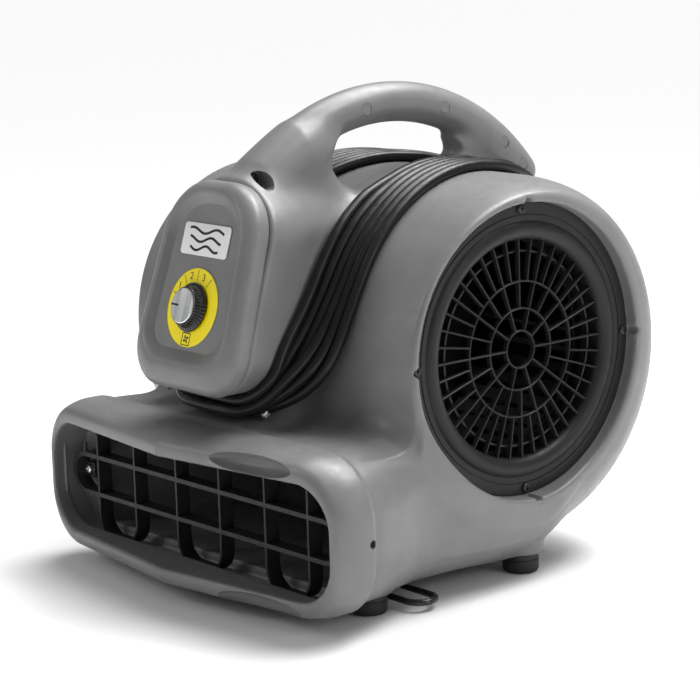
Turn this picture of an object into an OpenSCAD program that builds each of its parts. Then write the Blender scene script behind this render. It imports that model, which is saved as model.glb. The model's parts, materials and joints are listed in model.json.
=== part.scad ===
/* [Scroll housing] */
// Height of the fan axis above the floor
axis_z = 175; // [150:1:200]
// Distance of the fan axis behind the middle of the footprint
axis_y = 36; // [20:1:60]
// Radius of the scroll at its crown
scroll_r = 141; // [120:1:160]
// Half width of the flat crown of the scroll
crown_x = 100; // [80:1:110]
// Half width over the inlet rims
rim_x = 157; // [140:1:170]
// Radius of the round opening inside each inlet rim
rim_r = 110.5; // [100:0.5:115]
// Thickness of the moulded shell
wall = 4; // [3:0.5:6]

/* [Outlet] */
// Half width over the outlet collar
collar_x = 184; // [160:1:200]
// Height of the top of the outlet collar above the floor
collar_top = 128; // [110:1:140]
// Height of the underside of the base above the floor
base_z = 12; // [8:1:20]
// Width of the mouth
mouth_w = 343; // [300:1:360]
// Height of the mouth
mouth_h = 85; // [70:1:95]
// Height of the bottom of the mouth above the floor
mouth_z = 25.5; // [20:0.5:30]
// Angle by which each half of the lip is swept back
sweep = 7; // [0:1:12]

/* [Control box] */
// Lean of the control panel from the vertical
panel_tilt = 17.5; // [0:0.5:30]
// Width of the control panel cover
panel_w = 120; // [100:1:130]
// Radius of the speed dial
dial_r = 29.5; // [24:0.5:34]
// Radius of the knob's skirt
knob_r = 18.5; // [14:0.5:22]

/* [Handle] */
// Radius of the handle's centre line
handle_arc_r = 181.5; // [170:0.5:190]
// Radius of the grip
grip_r = 15.5; // [13:0.5:18]

/* [Fan] */
// Outer radius of the fan wheel
wheel_r = 95; // [85:1:100]
// Half length of the fan wheel
wheel_x = 118; // [100:1:118]
// Number of blades
blade_count = 36; // [24:1:48]
// Radius of the throat of each inlet
throat_r = 82; // [75:0.5:84]

/* [Feet and stand] */
// Radius of a rubber foot
foot_r = 14; // [10:1:18]
// Radius of the stand's wire
wire_r = 2.4; // [2:0.1:3]

/* [Hidden] */
$fn = 72;

run = 0.05;                      // radial clearance of a shaft that turns
shell_grey = "#7d7f80";
guard_grey = "#3f4243";
black = "#1b1c1d";
steel = "#b9bcc0";

scroll_y = axis_y + 20;          // the scroll is eccentric to the fan axis
scroll_z = axis_z - 16;
// Steps from the crown to the inlet rim: half width, share of the way from the scroll's middle to the
// fan axis, and drop in radius.
shoulder = [[135, 0.3, 8], [152, 0.8, 19], [rim_x, 1, 26]];
lip_y = -197;                    // front of the lip on the middle plane
collar_back = -141;
duct_waist_y = -58;              // behind this the sides of the duct are almost straight
mouth_corner = 32;
ledge_x = 141;                   // inner face of the ledge that carries an inlet guard
ledge_t = 4;
ledge_r = 100;
deep_rim_x = 184;                // half width and radius of the rim on the left
deep_rim_r = 117;
rim_notch_r = 3.2;               // half-round notches in the rim beside the guard screws

panel_y = -157.5;                // middle of the speed dial
panel_z = 216;
cover_back = -13.6;              // depth of the cover behind the face of its panel
cover_front = 4;
cover_low = -61;
cover_high = 96;

handle_y = 30;                   // middle of the handle's arc
handle_z = 170;
handle_from = 39;                // angles at the tail and at the neck
handle_to = 141;

grille_front = -161;
grille_depth = 12;
grille_step = 7;                 // depth of the step in the mouth's floor that hides the grille's foot
rail_z = 67;                     // middle height of the grille's long rail
rail_w = 330;
pair_x = [-106.25, 0, 106.25];   // middles of the U-shaped pairs of bars
pair_w = [51.5, 56, 51.5];

foot_x = 128;
foot_y = [-105, 47];
hinge_y = -84;                   // hinge of the wire stand
hinge_z = 7;
stand_leg_x = 104;
stand_back_y = 26;

foot_hole_r = 2.5;               // holes for the screws of the feet

small_r = 1.9;                   // small screws and their holes
small_head_r = 3.8;
guard_screw_ring = 105.5;        // radius of the circle of guard screws
grille_screw_x = 156.5;
cover_stud_spots = [[38, -42], [36, 78]];
clip_screw_x = [86, 98];
clip_screw_y = hinge_y + 9;
gland_hole_r = 5.51;

// Bosses of the screws that join the halves, as Y and Z.
screw_spots = [[-126, 137], [-105, 306], [-60, 18], [100, 28], [188, 150], [150, 250]];
screw_boss_r = 8;

handle_plug_angles = [99, 73.5, 51, 42];
handle_plug_r = 4.6;

wheel_plate_t = 3;
wheel_ring_t = 3;

bracket_x = -125;                // left face of the motor's bracket
bracket_t = 3;
motor_r = 46;
motor_wall = 3;
motor_len = 89;
bearing_r = 13;
bearing_w = 8;
shaft_r = 6;
knob_shaft_r = 3;
knob_base = 1.2;                 // height of the knob's skirt above the plate
knob_top = 9.2;

gland_spot = [-45, -80, 217];
gland_lean = 28;                 // the cord leaves the gland forwards and down
cord_r = 4.2;
plug_spot = [-98, -106, 190];    // where the cord enters the plug, which hangs pins down
plug_r = 17.5;
plug_len = 40;

// Runs from the terminal block down the inside of the left wall to the motor.
motor_cable_route = [[-20, -128, 206], [-22, -112, 203], [-24, -94, 200], [-24, -78, 199], [-34, -69, 197],
                     [-60, -68, 195], [-90, -68, 193], [-116, -67, 191], [-128, -58, 189], [-128, -35, 186],
                     [-128, -12, 181]];
motor_cable_r = 2.4;

// Stations round the winding: a point of its centre line, the direction in which its layers rise,
// half its width and half its thickness.
winding_stations = [
    [[0, -138, 143], [0, -0.3, -1], 13, 9],
    [[32, -137, 145], [0.3, -0.3, -1], 13, 9],
    [[57, -127, 158], [0.8, -0.5, -0.6], 15, 8],
    [[66, -106, 176], [0.5, -1, 0], 20, 6],
    [[67, -88, 203], [0, -1, 0.3], 25, 5],
    [[65, -70, 234], [0, -0.9, 0.5], 25, 5],
    [[61, -46, 263], [0, -0.7, 0.7], 25, 5],
    [[56, -11, 289], [0, -0.5, 0.9], 25, 5],
    [[51, 34, 304], [0, -0.15, 1], 24, 5],
    [[46, 75, 306], [0, 0.15, 1], 21, 6],
    [[42, 115, 295], [0, 0.4, 0.9], 18, 7.5],
    [[34, 149, 276], [0.2, 0.6, 0.8], 15, 9],
    [[18, 168, 259], [0.1, 0.75, 0.7], 13, 9],
    [[0, 174, 252], [0, 0.8, 0.6], 13, 9],
    [[-18, 168, 259], [-0.1, 0.75, 0.7], 13, 9],
    [[-34, 149, 276], [-0.2, 0.6, 0.8], 15, 9],
    [[-44, 115, 295], [0, 0.4, 0.9], 18, 7.5],
    [[-50, 75, 306], [0, 0.15, 1], 21, 6],
    [[-56, 34, 304], [0, -0.15, 1], 24, 5],
    [[-62, -11, 289], [0, -0.5, 0.9], 25, 5],
    [[-68, -46, 263], [0, -0.7, 0.7], 25, 5],
    [[-72, -70, 234], [0, -0.9, 0.5], 25, 5],
    [[-72, -88, 203], [0, -1, 0.3], 25, 5],
    [[-68, -106, 176], [-0.5, -1, 0], 20, 6],
    [[-57, -127, 158], [-0.8, -0.5, -0.6], 15, 8],
    [[-32, -137, 145], [-0.3, -0.3, -1], 13, 9]];

// ---------- placing helpers ----------

module along_x(x, y, z) translate([x, y, z]) rotate([0, 90, 0]) children();

// Local x stays across the machine, y runs up the panel and z points out of it.
module on_panel() translate([0, panel_y, panel_z]) rotate([90 - panel_tilt, 0, 0]) children();

// Stands 2D shapes drawn in X and Z upright and extrudes them from y0 to y1.
module upright(y0, y1) translate([0, y1, 0]) rotate([90, 0, 0]) linear_extrude(y1 - y0) children();

// Stands 2D shapes drawn in Y and Z upright and extrudes them from x0 to x1.
module sideways(x0, x1) translate([x0, 0, 0]) rotate([90, 0, 90]) linear_extrude(x1 - x0) children();

module on_both_sides() {
    children();
    mirror([1, 0, 0]) children();
}

// ---------- outlines ----------

// A rectangle with one radius for its top corners and another for its bottom corners.
module rounded_face(w, low, high, r_top, r_low) {
    for (s = [-1, 1]) {
        translate([s * (w / 2 - r_top), high - r_top]) circle(r_top);
        translate([s * (w / 2 - r_low), low + r_low]) circle(r_low);
    }
    translate([-w / 2 + r_top, high - 2 * r_top]) square([w - 2 * r_top, 2 * r_top]);
    translate([-w / 2 + r_low, low]) square([w - 2 * r_low, 2 * r_low]);
    translate([-w / 2, low + r_low]) square([w, high - low - r_low - r_top]);
}

module cover_outline(inset) {
    rounded_face(panel_w - 2 * inset, cover_low + inset, cover_high - inset, 44 - inset, 30 - inset);
}

module mouth_outline() {
    rounded_face(mouth_w, mouth_z, mouth_z + mouth_h, mouth_corner, mouth_corner);
}

// ---------- housing ----------

module disc(y, z, r, x0, x1) along_x(x0, y, z) cylinder(r = r, h = x1 - x0);

// Half of the scroll, drawn in from its outside by g.
module drum(g, x0, $fn = 48) {
    hull() {
        disc(scroll_y, scroll_z, scroll_r - g, x0, crown_x);
        for (s = shoulder) disc(scroll_y + s[1] * (axis_y - scroll_y), scroll_z + s[1] * (axis_z - scroll_z),
                                scroll_r - s[2] - g, x0, s[0] - g);
    }
}

// Upright corner posts of the duct, joined by hull() in the caller.
module duct_corners(x0, half_w, low, high, r, y0, y1, $fn = 32) {
    for (z = [low + r, high - r]) {
        translate([half_w - r, y1, z]) rotate([90, 0, 0]) cylinder(r = r, h = y1 - y0);
    }
    translate([x0, y0, low]) cube([1, y1 - y0, high - low]);
}

module duct() {
    hull() {
        duct_corners(0, collar_x - 6, base_z, collar_top - 2, 46, collar_back - 2, collar_back);
        duct_corners(0, rim_x, base_z, 124, 40, duct_waist_y - 1, duct_waist_y);
    }
    hull() {
        duct_corners(0, rim_x, base_z, 124, 40, duct_waist_y - 1, duct_waist_y);
        duct_corners(0, rim_x - 7, base_z, 120, 25, 50, scroll_y + 8);
    }
}

module duct_space() {
    hull() {
        duct_corners(-1, mouth_w / 2, mouth_z, mouth_z + mouth_h, mouth_corner, -150, -145);
        duct_corners(-1, 134, base_z + wall, 112, 18, 20, 24);
    }
}

module collar() {
    hull() {
        duct_corners(0, collar_x, base_z - 2, collar_top, 46, lip_y + 22, collar_back);
        duct_corners(0, collar_x - 7, base_z + 3, collar_top - 6, 40, lip_y, lip_y + 22);
    }
}

// Neck that carries the control box, narrowing back to the scroll.
module neck($fn = 32) {
    difference() {
        hull() {
            on_panel() translate([0, 0, cover_back - 2]) linear_extrude(2) cover_outline(2);
            on_panel() translate([0, 0, -86]) linear_extrude(2) rounded_face(60, -40, 100, 25, 20);
        }
        translate([-100, -300, 0]) cube([100, 600, 500]);
    }
}

module neck_space() {
    difference() {
        on_panel() translate([0, 0, -80]) linear_extrude(80 + cover_back + 1)
            rounded_face(62, -40, 70, 20, 20);
        along_x(-1, scroll_y, scroll_z) cylinder(r = scroll_r + 0.7, h = 102);
    }
}

// The half of a circle on the side where the half shell lies.
module half_circle(r) intersection() {
    circle(r);
    translate([-r, 0]) square([2 * r, r]);
}

// Sweeps a 2D shape along the handle's arc; its y direction becomes x.
module handle_arc(from, to) {
    translate([0, handle_y, handle_z]) rotate([90, 0, 90]) rotate([0, 0, from])
        rotate_extrude(angle = to - from) translate([handle_arc_r, 0]) children();
}

module handle() {
    handle_arc(handle_from, handle_to) half_circle(grip_r);
    translate([0, handle_y + handle_arc_r * cos(handle_from), handle_z + handle_arc_r * sin(handle_from)])
        intersection() {
            sphere(grip_r);
            translate([0, -50, -50]) cube(100);
        }
}

// Feet of the handle on the neck and on the back of the scroll, and the ramp under the neck.
module pedestals() {
    sideways(0, 28) polygon([[-112, 300], [-100, 318], [-60, 338], [-26, 330], [-28, 306], [-15, 280],
                             [-60, 240], [-110, 270]]);
    sideways(0, 15) polygon([[97, 318], [98, 306], [90, 292], [104, 276], [142, 258], [146, 280], [152, 300],
                             [130, 318]]);
    sideways(0, 50) polygon([[-150, 120], [-150, 127], [-122, 134], [-104, 146], [-70, 150], [-70, 120]]);
}

module half_outside() {
    drum(0, 0);
    duct();
    collar();
    neck();
    handle();
    pedestals();
    for (y = foot_y) translate([foot_x, y, base_z + 3]) cylinder(r = foot_r + 3.5, h = 7);
}

module half_inside() {
    difference() {
        union() {
            drum(wall, -1);
            duct_space();
        }
        disc(axis_y, axis_z, rim_r + 20, ledge_x, rim_x);
        for (s = screw_spots) disc(s[0], s[1], screw_boss_r, -2, 60);
        for (y = foot_y) translate([foot_x, y, 0]) cylinder(r = foot_r + 3, h = base_z + 14);
        translate([grille_screw_x - 7, grille_front + grille_depth, rail_z - 7]) cube([40, 14, 14]);
    }
    neck_space();
    handle_arc(handle_from + 6, handle_to - 20) circle(grip_r - wall);
    upright(lip_y - 1, -144) mouth_outline();
    upright(grille_front - 2, -144)
        rounded_face(mouth_w, mouth_z - grille_step, mouth_z + mouth_h, mouth_corner, mouth_corner);
    disc(axis_y, axis_z, rim_r, ledge_x + ledge_t, collar_x);
    disc(axis_y, axis_z, ledge_r, ledge_x - 1, ledge_x + ledge_t + 1);
}

// Holes that stay round: screw sockets, foot sockets, guard screws and the stand's clips.
module half_bores() {
    for (s = screw_spots) disc(s[0], s[1], 2, -1, 40);
    for (y = foot_y) {
        translate([foot_x, y, -1]) cylinder(r = foot_r + 0.01, h = base_z + 5);
        translate([foot_x, y, 0]) cylinder(r = foot_hole_r, h = base_z + 12);
    }
    for (a = [0:90:270]) along_x(ledge_x - 1, axis_y, axis_z) rotate(a) {
        translate([guard_screw_ring, 0, 0]) cylinder(r = small_r, h = 8);
        translate([rim_r, 0, ledge_t + 1.5]) cylinder(r = rim_notch_r, h = collar_x - ledge_x);
    }
    translate([grille_screw_x, grille_front + grille_depth - 1, rail_z]) rotate([-90, 0, 0])
        cylinder(r = small_r, h = 13);
    for (x = clip_screw_x) translate([x, clip_screw_y, 0]) cylinder(r = small_r, h = base_z + 7);
    for (a = handle_plug_angles) at_handle(a) rotate([0, 90, 0]) translate([0, 0, grip_r - 3])
        cylinder(r = handle_plug_r, h = 6);
    on_panel() for (p = cover_stud_spots) translate([p[0], p[1], cover_back - 12])
        cylinder(r = small_r, h = 13);
}

module half_shell() {
    difference() {
        half_outside();
        half_inside();
        half_bores();
        translate([0, lip_y, 0]) rotate(sweep) translate([-10, -60, -1]) cube([260, 60, 160]);
        on_panel() translate([-1, -60, cover_back]) cube([80, 160, 40]);
    }
}

// Open sockets that let the long screws in from the right.
module screw_sockets() {
    disc(screw_spots[0][0], screw_spots[0][1], 4, 42, 60);
    disc(screw_spots[1][0], screw_spots[1][1], 7, 14, 60);
}

module housing_right() {
    color(shell_grey) difference() {
        half_shell();
        screw_sockets();
    }
}

// The rim on the motor's side stands out further than the other.
module deep_rim() {
    mirror([1, 0, 0]) difference() {
        along_x(ledge_x + 1, axis_y, axis_z)
            cylinder(r1 = deep_rim_r + 6, r2 = deep_rim_r, h = deep_rim_x - ledge_x - 1);
        disc(axis_y, axis_z, rim_r, ledge_x, deep_rim_x + 1);
    }
}

module housing_left() {
    color(shell_grey) difference() {
        union() {
            mirror([1, 0, 0]) half_shell();
            gland_boss();
            deep_rim();
        }
        mirror([1, 0, 0]) screw_sockets();
        at_gland() cylinder(r = gland_hole_r, h = 20, center = true);
        at_gland() translate([0, 0, -1.01]) cylinder(r = 8, h = 24);
        translate(motor_cable_route[3]) rotate([90, 0, 0]) cylinder(r = motor_cable_r + 1.6, h = 24, center = true);
    }
}

module housing_screws() {
    color(steel) {
        screw_from_right(screw_spots[0], 42, 3.6);
        screw_from_right(screw_spots[1], 14, 5);
    }
}

module screw_from_right(spot, x, head_r) {
    disc(spot[0], spot[1], 2, -20, x);
    difference() {
        disc(spot[0], spot[1], head_r, x, x + 2.4);
        along_x(x + 1, spot[0], spot[1]) {
            cube([1.2, 5, 4], center = true);
            cube([5, 1.2, 4], center = true);
        }
    }
}

module at_handle(a) {
    translate([0, handle_y + handle_arc_r * cos(a), handle_z + handle_arc_r * sin(a)]) rotate([a, 0, 0])
        children();
}

module handle_plugs() {
    color(shell_grey) on_both_sides() for (a = handle_plug_angles) at_handle(a) rotate([0, 90, 0])
        translate([0, 0, grip_r - 3]) cylinder(r = handle_plug_r, h = 2.7);
}

// ---------- control panel ----------

module control_cover() {
    color(shell_grey) on_panel() difference() {
        union() {
            translate([0, 0, cover_back]) linear_extrude(cover_front - cover_back - 3) cover_outline(0);
            translate([0, 0, cover_front - 3]) linear_extrude(3) cover_outline(3);
        }
        linear_extrude(cover_front + 1) rounded_face(82, -32, 78, 34, 20);
        translate([0, 0, 1.6]) linear_extrude(cover_front) rounded_face(94, -42, 86, 40, 26);
        difference() {
            translate([0, 0, cover_back - 1]) linear_extrude(-cover_back - 2) cover_outline(wall);
            on_both_sides() for (p = cover_stud_spots) translate([p[0], p[1], cover_back - 2])
                cylinder(r = 5, h = 20);
        }
        on_both_sides() for (p = cover_stud_spots) translate([p[0], p[1], cover_back - 1])
            cylinder(r = small_r, h = 10);
        translate([0, 0, -5]) cylinder(r = 5, h = 12);
    }
}

// Headless studs that hold the cover to the neck from behind.
module cover_studs() {
    color(steel) on_panel() on_both_sides() for (p = cover_stud_spots)
        translate([p[0], p[1], cover_back - 11]) cylinder(r = small_r, h = 19.5);
}

module badge_plate() {
    color("#f4f4f2") on_panel() linear_extrude(1.2) rounded_face(56, 38.5, 62.5, 1.5, 1.5);
}

module dial_disc() {
    color("#ffe100") on_panel() difference() {
        cylinder(r = dial_r, h = 0.8);
        translate([0, 0, -1]) cylinder(r = 7.5, h = 3);
    }
}

module speed_knob() {
    color(black) on_panel() difference() {
        union() {
            translate([0, 0, knob_base]) cylinder(r = knob_r, h = 2.6);
            translate([0, 0, knob_base + 2.6]) cylinder(r1 = knob_r, r2 = knob_r - 4.2, h = 1.6);
            translate([0, 0, knob_base + 4.2]) cylinder(r = knob_r - 4.2, h = 4.8);
        }
        for (a = [0:15:345]) rotate(a) translate([knob_r + 0.6, 0, 0]) cylinder(r = 1.5, h = 12);
        translate([0, 0, -1]) cylinder(r = 8, h = 5.2);
        translate([0, 0, -1]) cylinder(r = knob_shaft_r, h = 8.4);
        translate([0, 0, knob_top]) cylinder(r = knob_r - 5.3, h = 2);
    }
}

module knob_cap() {
    color("#d9dbdc") on_panel() difference() {
        translate([0, 0, knob_top]) cylinder(r = knob_r - 5.3, h = 1.2);
        pointer_bar(1);
    }
}

module pointer_bar(h) translate([5.5 - knob_r, -0.7, knob_top + 0.7]) cube([9, 1.4, h]);

module knob_pointer() {
    color(black) on_panel() pointer_bar(0.5);
}

module rotary_switch() {
    color("#2d2f31") on_panel() difference() {
        union() {
            translate([-17, -17, -26]) cube([34, 34, 23]);
            translate([0, 0, -3]) cylinder(r = 5, h = 5);
            for (x = [-12:8:12]) translate([x - 1.5, -20, -24]) cube([3, 4, 1.2]);
        }
        translate([0, 0, -20]) cylinder(r = knob_shaft_r + run, h = 25);
    }
}

module switch_nut() {
    color(steel) on_panel() difference() {
        cylinder(r = 7, h = 2, $fn = 6);
        translate([0, 0, -1]) cylinder(r = 5, h = 5);
    }
}

module switch_shaft() {
    color(steel) on_panel() translate([0, 0, -19.5]) cylinder(r = knob_shaft_r, h = 26.9);
}

module capacitor() {
    color("#c9ccd0") on_panel() {
        translate([0, 38, -40]) rotate([0, 90, 0]) cylinder(r = 12, h = 44, center = true);
        for (x = [-14, 10]) translate([x, 36, -55]) cube([4, 4, 14]);
    }
}

module terminal_block() {
    color("#e8e6df") on_panel() difference() {
        translate([-16, -36, -44]) cube([32, 12, 12]);
        for (x = [-10, 0, 10]) translate([x, -30, -34]) cylinder(r = 2.4, h = 4);
    }
}

// ---------- tubes along a route ----------

function unit(v) = v / norm(v);

// A point of the smooth curve through a list, at t between points i and i + 1.
function curve_point(p, i, t) =
    let (a = p[max(i - 1, 0)], b = p[i], c = p[min(i + 1, len(p) - 1)], d = p[min(i + 2, len(p) - 1)])
    0.5 * (2 * b + (c - a) * t + (2 * a - 5 * b + 4 * c - d) * t * t + (3 * b - a - 3 * c + d) * t * t * t);

function smooth(p, steps) = concat(
    [for (i = [0:len(p) - 2]) for (k = [0:steps - 1]) curve_point(p, i, k / steps)], [p[len(p) - 1]]);

// One closed tube of constant radius along a smoothed route.
module tube(route, radius, steps, sides) {
    path = smooth(route, steps);
    last = len(path) - 1;
    side = [for (i = [0:last]) let (t = unit(path[min(i + 1, last)] - path[max(i - 1, 0)]))
            [t, unit(cross(t, abs(t[2]) < 0.9 ? [0, 0, 1] : [0, 1, 0]))]];
    points = [for (i = [0:last]) for (k = [0:sides - 1])
              path[i] + radius * (cos(360 * k / sides) * side[i][1]
                                  + sin(360 * k / sides) * cross(side[i][0], side[i][1]))];
    faces = concat([[for (k = [0:sides - 1]) k]],
                   [for (i = [0:last - 1]) for (k = [0:sides - 1])
                    [i * sides + k, (i + 1) * sides + k, (i + 1) * sides + (k + 1) % sides,
                     i * sides + (k + 1) % sides]],
                   [[for (k = [sides - 1:-1:0]) last * sides + k]]);
    polyhedron(points, faces, convexity = 8);
}

module motor_cable() {
    color(black) tube(motor_cable_route, motor_cable_r, 3, 10);
}

// ---------- outlet grille ----------

// A U-shaped pair of bars, closed at the top where it meets the roof of the mouth.
module bar_pair(w) {
    low = mouth_z - grille_step + 0.1;
    high = mouth_z + mouth_h - 0.1;
    difference() {
        rounded_face(w, low, high, 1, 18);
        rounded_face(w - 4, low + 2, high - 2, 0.5, 16);
    }
}

module rail() {
    difference() {
        rounded_face(rail_w, rail_z - 16.7, rail_z + 16.7, 16.6, 16.6);
        rounded_face(rail_w - 6.8, rail_z - 13.3, rail_z + 13.3, 13.2, 13.2);
    }
}

module outlet_grille() {
    color(guard_grey) difference() {
        union() {
            upright(grille_front, grille_front + grille_depth) {
                for (i = [0:2]) translate([pair_x[i], 0]) bar_pair(pair_w[i]);
                rail();
            }
            for (s = [-1, 1]) translate([s * grille_screw_x - 7.5, grille_front + grille_depth - 3, rail_z - 6])
                cube([15, 3, 12]);
        }
        for (s = [-1, 1]) translate([s * grille_screw_x, grille_front + 5, rail_z]) rotate([-90, 0, 0])
            cylinder(r = small_r, h = 12);
    }
}

module grille_screws() {
    color(steel) on_both_sides() translate([grille_screw_x, grille_front + grille_depth - 5.2, rail_z])
        rotate([-90, 0, 0]) {
            cylinder(r = small_head_r, h = 2.2);
            cylinder(r = small_r, h = 14);
        }
}

// ---------- inlet guards ----------

// Ring shapes are drawn as radius across and distance from the middle plane up.
module ring_section() {
    translate([throat_r + 11.3, 0]) difference() {
        translate([0, 141]) circle(11.3);
        translate([0, 141]) circle(8.8);
        translate([-20, 120]) square([40, 21]);
        translate([6, 130]) square([20, ledge_x + ledge_t - 130]);
    }
    translate([throat_r, 131]) square([2.5, 10.2]);
    translate([throat_r + 20.1, 145]) square([rim_r - 0.01 - throat_r - 20.1, 3]);
}

module spokes(count, from, to, shift) {
    for (i = [0:count - 1]) rotate(shift + 360 * i / count) translate([from, -0.9]) square([to - from, 1.8]);
}

module guard_web() {
    spokes(10, 12.5, 31, 0);
    spokes(20, 30, 51.5, 0);
    spokes(40, 50.5, throat_r + 1, 0);
    for (r = [14.8, 31.6, 52]) difference() {
        circle(r);
        circle(r - 2);
    }
}

module inlet_guard() {
    along_x(0, axis_y, axis_z) {
        difference() {
            rotate_extrude() ring_section();
            for (a = [0:90:270]) rotate(a) translate([guard_screw_ring, 0, 140])
                cylinder(r = small_r, h = 12);
        }
        translate([0, 0, 138.4]) linear_extrude(6) guard_web();
        translate([0, 0, 134]) linear_extrude(4.6) difference() {
            circle(74);
            circle(72.5);
        }
    }
}

module inlet_guard_right() color(guard_grey) inlet_guard();

module inlet_guard_left() color(guard_grey) mirror([1, 0, 0]) inlet_guard();

module guard_screws() {
    color(black) on_both_sides() for (a = [0:90:270]) along_x(0, axis_y, axis_z) rotate(a)
        translate([guard_screw_ring, 0, ledge_x + 0.5]) {
            cylinder(r = small_r, h = 8);
            translate([0, 0, 7.5]) cylinder(r = small_head_r, h = 2.4);
        }
}

// ---------- motor ----------

module motor_bracket() {
    color("#8d9094") difference() {
        union() {
            along_x(bracket_x, axis_y, axis_z) {
                cylinder(r = motor_r + 4, h = bracket_t);
                for (a = [90:120:330]) rotate(a) translate([40, -8, 0]) cube([68, 16, bracket_t]);
            }
            along_x(-ledge_x, axis_y, axis_z) for (a = [90:120:330]) rotate(a) translate([104.5, 0, 0])
                cylinder(r = 4, h = bracket_x + ledge_x + 1);
        }
        along_x(bracket_x - 1, axis_y, axis_z) cylinder(r = 20, h = 5);
    }
}

module motor_case() {
    color("#55585b") along_x(bracket_x + bracket_t, axis_y, axis_z) difference() {
        cylinder(r = motor_r, h = motor_len);
        translate([0, 0, motor_wall]) difference() {
            cylinder(r = motor_r - motor_wall, h = motor_len);
            cylinder(r = bearing_r + 3, h = bearing_w);
        }
        translate([0, 0, motor_wall]) cylinder(r = bearing_r, h = bearing_w + 1);
        translate([0, 0, -1]) cylinder(r = shaft_r + 2, h = 6);
    }
}

module motor_end_bell() {
    color("#8d9094") along_x(-33, axis_y, axis_z) difference() {
        union() {
            cylinder(r = motor_r, h = 4);
            translate([0, 0, -bearing_w]) cylinder(r = bearing_r + 3, h = bearing_w + 0.5);
        }
        translate([0, 0, -bearing_w - 1]) cylinder(r = bearing_r, h = bearing_w + 1);
        translate([0, 0, -1]) cylinder(r = shaft_r + 2, h = 8);
    }
}

module stator_core() {
    color("#6a6d70") along_x(-100, axis_y, axis_z) difference() {
        cylinder(r = motor_r - motor_wall, h = 45);
        for (i = [0:23]) rotate(15 * i) translate([34, 0, -1]) cylinder(r = 2, h = 50);
        translate([0, 0, -1]) cylinder(r = 30, h = 50);
    }
}

module motor_windings() {
    color("#b5703a") for (x = [-111, -55]) along_x(x, axis_y, axis_z) difference() {
        cylinder(r = 41, h = 11);
        translate([0, 0, -1]) cylinder(r = 31.5, h = 13);
    }
}

module bearings() {
    color(steel) for (x = [-119, -41]) along_x(x, axis_y, axis_z) difference() {
        cylinder(r = bearing_r, h = bearing_w);
        translate([0, 0, -1]) cylinder(r = shaft_r + run, h = bearing_w + 2);
    }
}

module motor_shaft() {
    color(steel) along_x(-118, axis_y, axis_z) cylinder(r = shaft_r, h = 132);
}

module rotor_core() {
    color("#777a7d") along_x(-101, axis_y, axis_z) difference() {
        cylinder(r = 29.4, h = 47);
        translate([0, 0, -1]) cylinder(r = shaft_r, h = 50);
    }
}

// ---------- fan ----------

module fan_hub() {
    color("#a9adb1") along_x(0, axis_y, axis_z) difference() {
        union() {
            translate([0, 0, -10]) cylinder(r = 16, h = 24);
            translate([0, 0, -4.5]) cylinder(r = 27, h = 3);
        }
        translate([0, 0, -11]) cylinder(r = shaft_r, h = 26);
        translate([0, 0, 8]) rotate([0, 90, 0]) cylinder(r = 2.5, h = 20);
    }
}

module hub_set_screw() {
    color(black) along_x(0, axis_y, axis_z) translate([6, 0, 8]) rotate([0, 90, 0]) cylinder(r = 2.5, h = 9);
}

// A thin blade that curves forward from the inner to the outer edge of the wheel.
module blade() {
    inner = wheel_r - 13;
    polygon([[inner, 0], [inner + 4, 2.2], [inner + 8.5, 5.6], [wheel_r - 0.5, 10.6], [wheel_r - 1.6, 11.4],
             [inner + 7.6, 6.9], [inner + 3.6, 3.7], [inner, 1.5]]);
}

// The wheel draws air in at both ends, so a plate in its middle carries a set of blades on each side.
module fan_plate() {
    color("#26282a") along_x(-wheel_plate_t / 2, axis_y, axis_z) difference() {
        cylinder(r = wheel_r - 1, h = wheel_plate_t);
        translate([0, 0, -1]) cylinder(r = 16, h = wheel_plate_t + 2);
    }
}

module fan_blades() {
    color("#26282a") on_both_sides() along_x(wheel_plate_t / 2, axis_y, axis_z)
        linear_extrude(wheel_x - wheel_ring_t - wheel_plate_t / 2)
            for (i = [0:blade_count - 1]) rotate(360 * i / blade_count) blade();
}

module fan_end_rings() {
    color("#26282a") on_both_sides() along_x(wheel_x - wheel_ring_t, axis_y, axis_z) difference() {
        cylinder(r = wheel_r, h = wheel_ring_t);
        translate([0, 0, -1]) cylinder(r = wheel_r - 14, h = wheel_ring_t + 2);
    }
}

// ---------- feet ----------

module foot(y) {
    translate([foot_x, y, 0]) difference() {
        union() {
            cylinder(r1 = foot_r - 2, r2 = foot_r, h = 2);
            translate([0, 0, 2]) cylinder(r = foot_r, h = base_z + 2);
        }
        translate([0, 0, -1]) cylinder(r = 5, h = 6);
        cylinder(r = foot_hole_r, h = 30);
    }
}

module front_feet() color(black) on_both_sides() foot(foot_y[0]);

module rear_feet() color(black) on_both_sides() foot(foot_y[1]);

module foot_screws() {
    color(steel) on_both_sides() for (y = foot_y) translate([foot_x, y, 0]) {
        translate([0, 0, 2.6]) cylinder(r = 4.6, h = 2.4);
        translate([0, 0, 4]) cylinder(r = foot_hole_r, h = 18);
    }
}

// ---------- wire stand ----------

module wire(x0, y0, x1, y1) {
    length = norm([x1 - x0, y1 - y0]);
    translate([x0, y0, hinge_z]) rotate([0, 90, atan2(y1 - y0, x1 - x0)]) cylinder(r = wire_r, h = length);
}

// A bend of the wire about (x, y) through the given angles.
module wire_bend(x, y, r, from, to) {
    translate([x, y, hinge_z]) rotate(from) rotate_extrude(angle = to - from)
        translate([r, 0]) circle(wire_r);
}

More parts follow.
